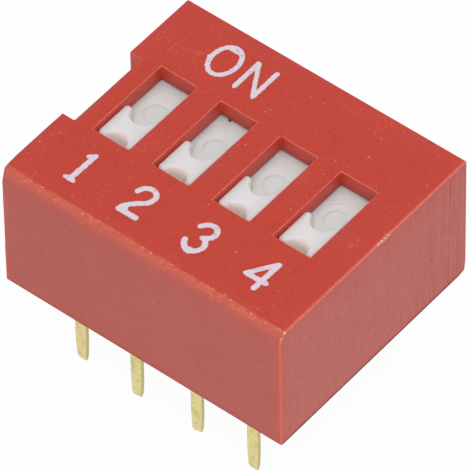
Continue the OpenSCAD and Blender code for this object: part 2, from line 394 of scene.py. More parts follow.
@dataclass(frozen=True)
class RedMoulding:
    """Moulded red cover: smooth top, frosted sides with painted sheen, worn edges with painted light, and
    painted shade.

    A reach or a depth is where a smooth step leaves 0 and where it reaches 1, in millimetres.
    """

    cover: "Cover"
    top: Colour = (0.535, 0.031, 0.0105)
    # The frosted sides: paler than the top by painted sheen.
    side: Colour = (0.508, 0.112, 0.088)
    # The plain end: paler still, by painted sheen and painted light.
    end: Colour = (0.547, 0.138, 0.115)
    # Window walls: painted shade at their foot, painted light at their top.
    painted_wall_shade: Colour = (0.38, 0.040, 0.029)
    painted_wall_light: Colour = (0.60, 0.054, 0.030)
    notch: Colour = (0.655, 0.120, 0.071)
    # Painted light on the front beside the uprights' rounding.
    upright_light: Colour = (0.61, 0.112, 0.085)
    # Painted highlight lines along the edges and the windows' rims.
    edge_highlight: Colour = (0.86, 0.30, 0.19)
    # Painted light in a soft band beside the edges.
    painted_edge_light: Colour = (0.58, 0.080, 0.058)
    # Front band: partly wear, partly painted highlight.
    worn_and_lit_band: Colour = (0.58, 0.105, 0.060)
    foot_shade: Colour = (0.12, 0.006, 0.008)
    # Painted red glow of light on the outer walls near their foot and top.
    glow: Colour = (0.54, 0.052, 0.048)
    orange: Colour = (0.60, 0.062, 0.010)
    burr: Colour = (0.92, 0.60, 0.44)
    darker: Colour = (0.82, 0.60, 0.55)
    top_roughness: float = 0.42
    side_roughness: float = 0.62
    roughness_drift: float = 0.12
    bump_depth: float = 0.006
    translucency: float = 0.15
    scatter: Colour = (1.0, 0.25, 0.12)
    scatter_depth: float = 0.3
    outer_depth: Fade = (0.8, 0.56)
    notch_depth: Fade = (1.0, 1.5)
    window_reach: Fade = (0.06, 0.02)
    wall_shade_depth: Fade = (0.75, 0.1)
    foot_reach: Fade = (0.085, 0.045)
    foot_lift: float = 0.04
    foot_glow_reach: Fade = (0.34, 0.10)
    top_glow_reach: Fade = (1.5, 0.3)
    upright_light_reach: Fade = (0.42, 0.05)
    # Where the painted edge light fades: beside the uprights, the end's edges and over the end face.
    upright_halo: Fade = (0.30, 0.08)
    end_halo: Fade = (0.16, 0.05)
    end_face_halo: Fade = (0.42, 0.0)
    # Where the painted highlight lines along the edges and the rims fade.
    end_line: Fade = (0.10, 0.03)
    upright_line: Fade = (0.10, 0.045)
    rim_line: Fade = (0.045, 0.02)
    rim_depth: Fade = (0.05, 0.01)
    burr_y: float = 0.5
    burr_length: float = 0.6
    burr_reach: Fade = (0.10, 0.05)
    turn_burr_width: float = 0.05
    turn_burr_reach: Fade = (0.08, 0.04)
    stripe_gap: float = 0.185
    stripes_from: float = -1.5
    smudge: Point2 = (4.0, 4.75)
    smudge_reach: Point2 = (0.16, 0.6)

    def material(self) -> bpy.types.Material:
        """Builds the material.

        Returns:
            The material.
        """
        tree = ShaderTree.for_material("red_moulding")
        skin = self._read(tree)
        rim = self._from_windows(skin)
        stripes = self._stripes(skin) * skin.end_face
        band = skin.nz.rise(0.988, 0.955) * skin.nz.rise(0.40, 0.86) * skin.ny.rise(-0.1, -0.2)
        shade = self._ground(skin, stripes)
        shade = self._shade_window_walls(skin, rim, shade)
        shade = self._paint_glow_and_foot_shade(skin, shade)
        shade = self._paint_edge_light(skin, rim, band, shade)
        shade = tree.blended(self._flecks(skin, band), shade, self.burr)
        height = skin.speckle * (0.3 + 0.7 * skin.frosted) + 2.0 * stripes + 0.9 * skin.mottle * band
        chalkier = (self.side_roughness - self.top_roughness) * skin.frosted
        return tree.finish(
            {
                "Base Color": shade,
                "Roughness": self.top_roughness + chalkier + self.roughness_drift * (skin.blotch - 0.5),
                "Normal": tree.bumped(height, self.bump_depth),
                "Subsurface Weight": self.translucency,
                "Subsurface Radius": self.scatter,
                "Subsurface Scale": self.scatter_depth * MM,
            }
        )

    def _read(self, tree: ShaderTree) -> Skin:
        """Adds what the finish reads.

        Args:
            tree: the material's tree.

        Returns:
            The readings.
        """
        place = tree.place()
        x, y, z = tree.parts(place)
        nx, ny, nz = tree.facing()
        low, high = self.cover.low, self.cover.high
        from_top, from_front, from_right = high.z - z, y - low.y, high.x - x
        from_side = from_right.at_most(x - low.x)
        outer = from_side.at_most(from_front.at_most(high.y - y)).rise(*self.outer_depth)
        return Skin(
            tree=tree,
            place=place,
            x=x,
            y=y,
            z=z,
            ny=ny,
            nz=nz,
            from_top=from_top,
            from_front=from_front,
            from_right=from_right,
            from_side=from_side,
            outer=outer,
            upward=nz.rise(0.5, 0.9),
            frosted=outer * nz.rise(0.96, 0.72),
            end_face=nx.rise(0.6, 0.95) * outer,
            clouds=tree.grain(place, per_mm=0.55, detail=3.0),
            speckle=tree.grain(place, per_mm=17.0, detail=3.0),
            blotch=tree.grain(place, per_mm=3.2, detail=3.0),
            mottle=tree.grain(
                tree.stretched(place, (0.55, 1.0, 1.3)), per_mm=13.0, detail=3.0, swirl=0.4
            ),
        )

    def _ground(self, skin: Skin, stripes: Signal) -> Signal:
        """The moulding's colour: the red top, the frosted sides paler by painted sheen, the plain end paler
        still by painted sheen and light, and the notch, all uneven.

        Args:
            skin: the readings.
            stripes: the plain end's drawing marks.

        Returns:
            The colour.
        """
        tree = skin.tree
        in_notch = skin.ny.rise(-0.5, -0.8) * skin.from_front.rise(*self.notch_depth)
        # Painted sheen and light: the frosted sides and, paler still, the plain end.
        shade = tree.blended(skin.end_face, self.side, self.end)
        shade = tree.blended(in_notch, shade, self.notch)
        shade = tree.blended(skin.frosted, self.top, shade)
        uneven = 0.65 + 1.9 * (skin.speckle - 0.5) + 0.35 * (skin.clouds - 0.5)
        uneven = uneven + 0.45 * (skin.blotch - 0.5) + stripes
        shade = tree.blended(uneven.rise(0.0, 1.0), tree.stretched(shade, self.darker), shade)
        return tree.blended(skin.mottle.rise(0.5, 0.75) * skin.upward * 0.5, shade, self.orange)

    def _shade_window_walls(self, skin: Skin, rim: Signal, shade: Signal) -> Signal:
        """Paints the windows' walls: painted light at their top, painted shade towards their foot.

        Args:
            skin: the readings.
            rim: how far the point lies outside the nearest window.
            shade: the colour so far.

        Returns:
            The colour.
        """
        in_window = rim.rise(*self.window_reach) * (1.0 - skin.upward) * (1.0 - skin.outer)
        # Painted light near the walls' top, painted shade towards their foot.
        wall = skin.tree.blended(skin.from_top.rise(*self.wall_shade_depth), self.painted_wall_shade, self.painted_wall_light)
        return skin.tree.blended(in_window, shade, wall)

    def _paint_glow_and_foot_shade(self, skin: Skin, shade: Signal) -> Signal:
        """Paints a red glow of light on the outer walls near their foot and their top, and painted shade
        along the line at the foot.

        Args:
            skin: the readings.
            shade: the colour so far.

        Returns:
            The colour.
        """
        foot = (skin.z - self.foot_lift * skin.end_face).rise(*self.foot_reach) * skin.outer
        # Painted glow of light near the foot and the top.
        top = 0.33 * skin.from_top.rise(*self.top_glow_reach)
        warm = skin.z.rise(*self.foot_glow_reach).at_least(top) * skin.outer
        warm = warm * (0.45 + 0.7 * (skin.blotch - 0.5))
        shade = skin.tree.blended(warm, shade, self.glow)
        return skin.tree.blended(foot * (0.55 + 0.45 * skin.end_face), shade, self.foot_shade)

    def _paint_edge_light(self, skin: Skin, rim: Signal, band: Signal, shade: Signal) -> Signal:
        """Paints light along the edges: beside the uprights and the plain end, wear and highlight on the
        front band, and highlight lines on the edges and rims.

        Args:
            skin: the readings.
            rim: how far the point lies outside the nearest window.
            band: the band along the front's rounded top edge, partly worn and partly painted highlight.
            shade: the colour so far.

        Returns:
            The colour.
        """
        tree = skin.tree
        upright = skin.from_side.at_least(skin.from_front)
        end_edge = skin.from_right.at_least(skin.from_top)
        # Painted light on the front beside the uprights.
        upright_light = 0.35 * upright.rise(*self.upright_light_reach) * (1.0 - skin.end_face)
        shade = tree.blended(upright_light, shade, self.upright_light)
        # Painted light in a soft band beside the uprights and the plain end's edges.
        edge_light_share = upright.rise(*self.upright_halo).at_least(0.7 * end_edge.rise(*self.end_halo))
        on_face = skin.from_front.at_most(skin.from_top).rise(*self.end_face_halo)
        edge_light_share = edge_light_share.at_least(0.7 * skin.end_face * on_face)
        shade = tree.blended(edge_light_share * (0.6 + 0.7 * (skin.blotch - 0.5)), shade, self.painted_edge_light)
        # Wear and painted highlight on the front band.
        worn_and_lit = band * skin.mottle.rise(0.22, 0.55) * skin.blotch.rise(0.2, 0.5)
        shade = tree.blended(worn_and_lit, shade, self.worn_and_lit_band)
        # Painted highlight lines along the plain end's top edge, the uprights and the windows' rims.
        line = end_edge.rise(*self.end_line) * (0.12 + 0.28 * skin.nz.rise(0.1, 0.6))
        line = line.at_least(0.26 * upright.rise(*self.upright_line))
        line = line.at_least(0.36 * rim.rise(*self.rim_line) * skin.from_top.rise(*self.rim_depth))
        return tree.blended(line * skin.mottle.rise(0.30, 0.50), shade, self.edge_highlight)

    def _flecks(self, skin: Skin, band: Signal) -> Signal:
        """All that is nearly white on the shell: burrs, bare grains, flecks and scratches.

        Args:
            skin: the readings.
            band: the band along the front's rounded top edge, partly worn and partly painted highlight.

        Returns:
            How white the point is, from 0 to 1.
        """
        light = self._burrs(skin) * skin.mottle.rise(0.44, 0.54)
        light = light.at_least(skin.mottle.rise(0.58, 0.74) * band * 0.3)
        grains = skin.tree.grain(skin.place, per_mm=7.0, detail=1.0)
        light = light.at_least(grains.rise(0.74, 0.80) * 0.3)
        return light.at_least(self._scratches(skin) * skin.upward)

    def _from_windows(self, skin: Skin) -> Signal:
        """How far a point lies outside the nearest window.

        Args:
            skin: the readings.

        Returns:
            The distance, about 0 on a window's walls.
        """
        first, last = way_x(1), way_x(WAYS)
        pitch = (last - first) / (WAYS - 1)
        across = (skin.x - first).pingpong(pitch / 2) - self.cover.window_width / 2
        beside = abs(skin.x - (first + last) / 2) - pitch * WAYS / 2
        along = abs(skin.y - self.cover.window_shift) - self.cover.window_length / 2
        return across.at_least(beside).at_least(along)

    def _stripes(self, skin: Skin) -> Signal:
        """Upright drawing marks on the plain end, stronger towards the back, with one dark smudge.

        Args:
            skin: the readings.

        Returns:
            How much lighter the marks are, below 0 where they are darker.
        """
        tree, place = skin.tree, skin.place
        drawn = tree.grain(tree.stretched(place, (1.0, 7.0, 0.22)), per_mm=1.1, detail=3.0)
        sway = tree.grain(tree.stretched(place, (1.0, 1.0, 0.2)), per_mm=0.7, detail=1.0)
        waves = (skin.y / self.stripe_gap + 2.5 * sway).pingpong(0.5) * 2.0 - 0.5
        amount = skin.y.rise(self.stripes_from, self.cover.high.y)
        smudge = skin.y.spike(self.smudge[0], self.smudge_reach[0])
        smudge = smudge * skin.z.spike(self.smudge[1], self.smudge_reach[1])
        return 1.6 * (drawn - 0.5) * (0.25 + 0.75 * amount) + 0.3 * waves * amount - 0.45 * smudge

    def _burrs(self, skin: Skin) -> Signal:
        """The pale burrs: one along the end's top edge and one round its front corner.

        Args:
            skin: the readings.

        Returns:
            Where they are, from 0 to 1.
        """
        radius = self.cover.front_radius
        along_edge = skin.from_right.at_least(skin.from_top).rise(*self.burr_reach)
        along_edge = along_edge * skin.y.spike(self.burr_y, self.burr_length)
        out, up = radius - skin.from_front, radius - skin.from_top
        turn = (out * out + up * up).spike(radius * radius, self.turn_burr_width)
        turn = turn * out.rise(0.0, 0.05) * up.rise(0.0, 0.05)
        return (0.6 * along_edge).at_least(0.75 * turn * skin.from_right.rise(*self.turn_burr_reach))

    def _scratches(self, skin: Skin) -> Signal:
        """Faint hairline scratches, in patches.

        Args:
            skin: the readings.

        Returns:
            How strongly a scratch shows, from 0 to about 0.2.
        """
        tree, place = skin.tree, skin.place
        along = tree.grain(tree.stretched(place, (0.35, 2.6, 1.0)), per_mm=0.8, detail=1.0, swirl=1.4)
        across = tree.grain(tree.stretched(place, (1.9, 0.5, 1.0)), per_mm=0.7, detail=1.0, swirl=1.8)
        lines = along.spike(0.5, 0.006).at_least(across.spike(0.52, 0.005))
        return lines * skin.clouds.rise(0.5, 0.66) * 0.16


@dataclass(frozen=True)
class ToolMarks:
    """The ripples that a cutter left beside an ejector mark."""

    towards: float
    strength: float
    gap: float = 0.12
    start: float = 0.54
    end: float = 1.05
    start_fade: float = 0.08
    end_fade: float = 0.3


@dataclass(frozen=True)
class WhiteNylon:
    """Slightly translucent white nylon with faint flow and tool marks, painted light and shade on its flanks,
    painted shade in the marks' rims and a painted glint on the tool marks.
    """

    name: str
    mark: Colour
    radius: float
    tool: ToolMarks
    crown: float
    light: Colour = (0.755, 0.765, 0.755)
    plate: Colour = (0.728, 0.782, 0.755)
    warm: Colour = (0.70, 0.66, 0.63)
    # Steep faces: painted light near the knob's top, painted shade lower down.
    painted_flank: Colour = (0.93, 0.895, 0.875)
    painted_flank_shade: Colour = (0.78, 0.715, 0.65)
    # Painted shade in the ejector mark's rim.
    ring: Colour = (0.50, 0.47, 0.44)
    glint: Colour = (0.98, 0.98, 0.97)
    roughness: float = 0.42
    roughness_drift: float = 0.12
    bump_depth: float = 0.008
    translucency: float = 0.9
    scatter: Colour = (1.0, 0.94, 0.86)
    scatter_depth: float = 0.8
    below_crown: Fade = (0.02, 0.38)
    rim_inset: float = 0.04
    rim_width: float = 0.07
    rim_towards: float = 145.0

    def material(self) -> bpy.types.Material:
        """Builds the material.

        Returns:
            The material.
        """
        tree = ShaderTree.for_material(self.name)
        place = tree.place()
        _, _, z = tree.parts(place)
        _, _, nz = tree.facing()
        flow = tree.grain(tree.stretched(place, (1.6, 0.8, 1.0)), per_mm=2.2, detail=3.0, swirl=0.6)
        fine = tree.grain(place, per_mm=16.0)
        ripple = self._ripple(tree, place, flow)
        below = (self.crown - z).rise(*self.below_crown)
        shade = tree.blended(0.20 * flow, tree.blended(below, self.light, self.plate), self.warm)
        # Painted light on the steep faces near the top, painted shade lower down.
        painted_flank = tree.blended(below, self.painted_flank, self.painted_flank_shade)
        shade = tree.blended(nz.rise(0.8, 0.5), shade, painted_flank)
        shade = tree.blended(self._rim(tree, place), shade, self.ring)
        # Painted glint on the tool marks.
        shade = tree.blended(ripple * 0.2, shade, self.glint)
        return tree.finish(
            {
                "Base Color": shade,
                "Roughness": self.roughness + self.roughness_drift * (flow - 0.5),
                "Normal": tree.bumped(flow * 0.6 + fine * 0.3 + ripple, self.bump_depth),
                "Subsurface Weight": self.translucency,
                "Subsurface Radius": self.scatter,
                "Subsurface Scale": self.scatter_depth * MM,
            }
        )

    def _ahead(self, tree: ShaderTree, place: Signal, away: Signal, towards: float) -> Signal:
        """How far a point lies in one direction from the ejector mark.

        Args:
            tree: the material's tree.
            place: the point on the surface.
            away: its distance from the mark's middle.
            towards: the direction, in degrees from +X.

        Returns:
            The cosine of the angle between the two directions.
        """
        x, y, _ = tree.parts(place)
        turn = math.radians(towards)
        return ((x - self.mark[0]) * math.cos(turn) + (y - self.mark[1]) * math.sin(turn)) / away

    def _rim(self, tree: ShaderTree, place: Signal) -> Signal:
        """The shade in the ejector mark's rim, strongest away from the light.

        Args:
            tree: the material's tree.
            place: the point on the surface.

        Returns:
            The shade, from 0 to about 0.3.
        """
        away = tree.distance(place, self.mark)
        dark = self._ahead(tree, place, away, self.rim_towards).rise(-0.3, 0.9)
        return away.spike(self.radius - self.rim_inset, self.rim_width) * dark * 0.45

    def _ripple(self, tree: ShaderTree, place: Signal, flow: Signal) -> Signal:
        """The height of the tool marks.

        Args:
            tree: the material's tree.
            place: the point on the surface.
            flow: slow noise that breaks the marks up.

        Returns:
            The height, about 0 to the marks' strength.
        """
        tool = self.tool
        away = tree.distance(place, self.mark)
        ahead = self._ahead(tree, place, away, tool.towards)
        waves = (away / tool.gap).pingpong(0.5) * 2.0
        inside = away.rise(tool.start, tool.start + tool.start_fade)
        inside = inside * away.rise(tool.end, tool.end - tool.end_fade)
        gaps = tree.grain(place, per_mm=4.5, detail=1.0)
        broken = flow.rise(0.34, 0.46) * gaps.rise(0.40, 0.56)
        return waves.rise(0.35, 0.9) * inside * ahead.rise(0.72, 0.95) * broken * tool.strength


@dataclass(frozen=True)
class PaleGold:
    """Dull pale gold plating with faint stains, olive cut edges, and painted shade on the faces turned down.
    """

    plate: Colour = (0.80, 0.71, 0.29)
    blush: Colour = (0.80, 0.66, 0.33)
    stain: Colour = (0.63, 0.56, 0.21)
    edge: Colour = (0.57, 0.49, 0.19)
    # Painted shade on the faces turned down, over the olive cut.
    cut: Colour = (0.16, 0.15, 0.06)
    metallic: float = 0.7
    roughness: float = 0.36
    roughness_drift: float = 0.25
    bump_depth: float = 0.004

    def material(self) -> bpy.types.Material:
        """Builds the material.

        Returns:
            The material.
        """
        tree = ShaderTree.for_material("pale_gold")
        place = tree.place()
        nx, _, nz = tree.facing()
        stains = tree.grain(place, per_mm=4.5, detail=3.0, swirl=0.4)
        patches = tree.grain(place, per_mm=2.6)
        fine = tree.grain(tree.stretched(place, (1.0, 1.0, 0.3)), per_mm=14.0)
        shade = tree.blended(patches.rise(0.42, 0.62), self.plate, self.blush)
        shade = tree.blended(stains.rise(0.46, 0.68), shade, self.stain)
        shade = tree.blended(abs(nx).rise(0.3, 0.8), shade, self.edge)
        # Painted shade on the faces turned down.
        shade = tree.blended((-nz).rise(0.3, 0.6), shade, self.cut)
        return tree.finish(
            {
                "Base Color": shade,
                "Metallic": self.metallic,
                "Roughness": self.roughness + self.roughness_drift * (stains - 0.5),
                "Normal": tree.bumped(fine * 0.6 + stains * 0.4, self.bump_depth),
            }
        )


@dataclass(frozen=True)
class SpringBronze:
    """Bright spring strip of the wipers."""

    strip: Colour = (0.62, 0.42, 0.16)
    shadow: float = 0.8
    roughness: float = 0.25
    roughness_drift: float = 0.15
    bump_depth: float = 0.002

    def material(self) -> bpy.types.Material:
        """Builds the material.

        Returns:
            The material.
        """
        tree = ShaderTree.for_material("spring_bronze")
        rolled = tree.grain(tree.stretched(tree.place(), (0.4, 6.0, 6.0)), per_mm=3.0, detail=3.0)
        shade = tree.blended(rolled, self.strip, tuple(self.shadow * part for part in self.strip))
        return tree.finish(
            {
                "Base Color": shade,
                "Metallic": 1.0,
                "Roughness": self.roughness + self.roughness_drift * rolled,
                "Normal": tree.bumped(rolled, self.bump_depth),
            }
        )


@dataclass(frozen=True)
class BlackMoulding:
    """Glass-filled black plastic of the base."""

    body: Colour = (0.012, 0.012, 0.013)
    fibre: Colour = (0.035, 0.034, 0.033)
    roughness: float = 0.5
    roughness_drift: float = 0.2
    bump_depth: float = 0.008

    def material(self) -> bpy.types.Material:
        """Builds the material.

        Returns:
            The material.
        """
        tree = ShaderTree.for_material("black_moulding")
        fibres = tree.grain(tree.stretched(tree.place(), (3.0, 1.0, 1.0)), per_mm=7.0, detail=3.0)
        shade = tree.blended(fibres.rise(0.5, 0.8), self.body, self.fibre)
        return tree.finish(
            {
                "Base Color": shade,
                "Roughness": self.roughness + self.roughness_drift * (fibres - 0.5),
                "Normal": tree.bumped(fibres, self.bump_depth),
            }
        )


@dataclass(frozen=True)
class AmberResin:
    """Cast sealing resin: glossy, dark amber, cloudy where it is thick."""

    clear: Colour = (0.17, 0.075, 0.020)
    cloudy: Colour = (0.30, 0.16, 0.055)
    roughness: float = 0.16
    roughness_drift: float = 0.12
    bump_depth: float = 0.01
    coat: float = 0.3

    def material(self) -> bpy.types.Material:
        """Builds the material.

        Returns:
            The material.
        """
        tree = ShaderTree.for_material("amber_resin")
        place = tree.place()
        clouds = tree.grain(place, per_mm=0.9, detail=4.0, swirl=0.8)
        bubbles = tree.grain(place, per_mm=9.0, detail=1.0).rise(0.74, 0.80)
        shade = tree.blended(clouds.rise(0.35, 0.7).at_least(bubbles), self.clear, self.cloudy)
        return tree.finish(
            {
                "Base Color": shade,
                "Roughness": self.roughness + self.roughness_drift * clouds,
                "Normal": tree.bumped(clouds + bubbles, self.bump_depth),
                "Coat Weight": self.coat,
            }
        )


@dataclass(frozen=True)
class WhiteInk:
    """Thin white pad print: pinkish at its edges and in a few thin places, with dark specks."""

    ink: Colour = (0.72, 0.63, 0.71)
    thin: Colour = (0.66, 0.30, 0.32)
    speck: Colour = (0.16, 0.07, 0.07)
    edge: float = 0.035
    roughness: float = 0.5
    roughness_drift: float = 0.2
    bump_depth: float = 0.004

    def material(self) -> bpy.types.Material:
        """Builds the material.

        Returns:
            The material.
        """
        tree = ShaderTree.for_material("white_ink")
        place = tree.place()
        cover = tree.grain(place, per_mm=6.0, detail=3.0)
        fine = tree.grain(place, per_mm=15.0)
        specks = tree.grain(place, per_mm=8.0, detail=1.0)
        frayed = tree.stored(INSET).rise(self.edge, 0.0) * (0.85 + 1.2 * (fine - 0.5))
        shade = tree.blended(cover.rise(0.58, 0.76).at_least(frayed), self.ink, self.thin)
        shade = tree.blended(specks.rise(0.76, 0.79) * 0.7, shade, self.speck)
        return tree.finish(
            {
                "Base Color": shade,
                "Roughness": self.roughness + self.roughness_drift * (cover - 0.5),
                "Normal": tree.bumped(cover, self.bump_depth),
            }
        )


@dataclass(frozen=True)
class DarkDirt:
    """A grain of dark dirt."""

    grime: Colour = (0.02, 0.017, 0.016)
    paler: float = 2.0
    roughness: float = 0.7
    roughness_drift: float = 0.2

    def material(self) -> bpy.types.Material:
        """Builds the material.

        Returns:
            The material.
        """
        tree = ShaderTree.for_material("dark_speck")
        grit = tree.grain(tree.place(), per_mm=20.0)
        shade = tree.blended(grit, self.grime, tuple(self.paler * part for part in self.grime))
        rough = self.roughness + self.roughness_drift * (grit - 0.5)
        return tree.finish({"Base Color": shade, "Roughness": rough})


# ---- Meshes ----


class Shape:
    """A mesh while it is built, in millimetres."""

    def __init__(self) -> None:
        """Starts with nothing."""
        self.points: list[Vector] = []
        self.faces: list[tuple[int, ...]] = []

    def ring(self, points: Iterable[Sequence[float]]) -> list[int]:
        """Adds a ring of points.

        Args:
            points: the ring's points, in order.

        Returns:
            Their numbers.
        """
        start = len(self.points)
        self.points.extend(Vector(point) for point in points)
        return list(range(start, len(self.points)))

    def bridge(self, lower: Sequence[int], upper: Sequence[int]) -> None:
        """Joins two rings of the same length by quads.

        Args:
            lower: the first ring.
            upper: the second ring.
        """
        count = len(lower)
        for k in range(count):
            after = (k + 1) % count
            self.faces.append((lower[k], lower[after], upper[after], upper[k]))

    def cap(self, ring: Sequence[int]) -> None:
        """Closes a ring by one face.

        Args:
            ring: the ring.
        """
        self.faces.append(tuple(ring))

    def loft(
        self, rings: Sequence[Iterable[Sequence[float]]], open_start: bool = False, open_end: bool = False
    ) -> list[list[int]]:
        """Adds a skin through rings of the same length.

        Args:
            rings: the rings, from one end to the other.
            open_start: leaves the first ring without a face.
            open_end: leaves the last ring without a face.

        Returns:
            The rings' point numbers.
        """
        numbers = [self.ring(points) for points in rings]
        for lower, upper in zip(numbers, numbers[1:]):
            self.bridge(lower, upper)
        if not open_start:
            self.cap(numbers[0])
        if not open_end:
            self.cap(numbers[-1])
        return numbers

    def holed_cap(self, rings: Sequence[Sequence[int]]) -> None:
        """Fills between an outer ring and the rings inside it.

        Args:
            rings: the outer ring first, then those of the holes, all in one plane.
        """
        order = [number for ring in rings for number in ring]
        outlines = [[self.points[number] for number in ring] for ring in rings]
        for corners in tessellate_polygon(outlines):
            self.faces.append(tuple(order[corner] for corner in corners))

    def make(self, name: str) -> bpy.types.Object:
        """Turns the shape into an object in metres, with its faces turned outwards.

        Args:
            name: the object's name.

        Returns:
            The object.
        """
        mesh = bpy.data.meshes.new(name)
        mesh.from_pydata([point * MM for point in self.points], [], self.faces)
        work = bmesh.new()
        work.from_mesh(mesh)
        bmesh.ops.remove_doubles(work, verts=work.verts, dist=WELD)
        bmesh.ops.recalc_face_normals(work, faces=work.faces)
        work.to_mesh(mesh)
        work.free()
        made = bpy.data.objects.new(name, mesh)
        bpy.context.scene.collection.objects.link(made)
        return made


def soften(piece: bpy.types.Object, sharp_degrees: float) -> None:
    """Shades a piece smoothly, with its flat faces kept flat.

    Args:
        piece: the object.
        sharp_degrees: the angle from which an edge stays sharp.
    """
    piece.data.shade_smooth()
    piece.data.set_sharp_from_angle(angle=math.radians(sharp_degrees))
    weighted = piece.modifiers.new("flat_faces", "WEIGHTED_NORMAL")
    weighted.keep_sharp = True


def apply_modifiers(piece: bpy.types.Object) -> None:
    """Replaces a piece's mesh by what its modifiers make of it.

    Args:
        piece: the object.
    """
    graph = bpy.context.evaluated_depsgraph_get()
    mesh = bpy.data.meshes.new_from_object(piece.evaluated_get(graph))
    piece.modifiers.clear()
    piece.data = mesh


def arc(centre: Point2, radius: float, start: float, end: float, steps: int) -> list[Point2]:
    """Points along an arc.

    Args:
        centre: the arc's centre.
        radius: its radius.
        start: the first point's direction, in degrees.
        end: the last point's direction, in degrees.
        steps: how many parts the arc has.

    Returns:
        The points, the two ends included.
    """
    angles = [math.radians(start + (end - start) * k / steps) for k in range(steps + 1)]
    return [(centre[0] + radius * math.cos(a), centre[1] + radius * math.sin(a)) for a in angles]


def circle(centre: Point2, radius: float, parts: int) -> list[Point2]:
    """The points of a whole circle, each given once."""
    return arc(centre, radius, 0, 360 * (parts - 1) / parts, parts - 1)


def rounded_outline(width: float, length: float, radius: float, steps: int = 6) -> list[Point2]:
    """A rectangle with rounded corners, centred on the origin, anticlockwise.

    Args:
        width: its size along x.
        length: its size along y.
        radius: the corners' radius.
        steps: how many parts each corner has.

    Returns:
        Its points.
    """
    half_w, half_l = width / 2 - radius, length / 2 - radius
    corners = [(half_w, -half_l, -90), (half_w, half_l, 0), (-half_w, half_l, 90), (-half_w, -half_l, 180)]
    return [p for x, y, turn in corners for p in arc((x, y), radius, turn, turn + 90, steps)]


@dataclass
class Piece:
    """A finished object with what the frame has to know about it."""

    shown: bpy.types.Object
    body: str
    slot: Optional[str] = None
    stands_for: tuple[str, ...] = ()

    def settle(self, finish: bpy.types.Material) -> None:
        """Dresses the piece and ties it to its body.

        Args:
            finish: its material.
        """
        self.shown.data.materials.clear()
        self.shown.data.materials.append(finish)
        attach(self.shown, self.body)
        if self.stands_for:
            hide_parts(*self.stands_for)


def node_box(node: str) -> tuple[Vector, Vector]:
    """The lowest and highest corner of a CAD node, in millimetres.

    Args:
        node: the node's name.

    Returns:
        The two corners.
    """
    low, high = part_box(node)
    return low / MM, high / MM


def way_x(number: int) -> float:
    """The centre line of a switch.

    Args:
        number: the switch, from 1.

    Returns:
        Its x, in millimetres.
    """
    low, high = node_box(f"slider_{number}")
    return (low.x + high.x) / 2


def pin_x(number: int) -> float:
    """The centre line of a switch's pins, on the board's grid, in millimetres."""
    return (number - (WAYS + 1) / 2) * PITCH


# ---- Cover ----


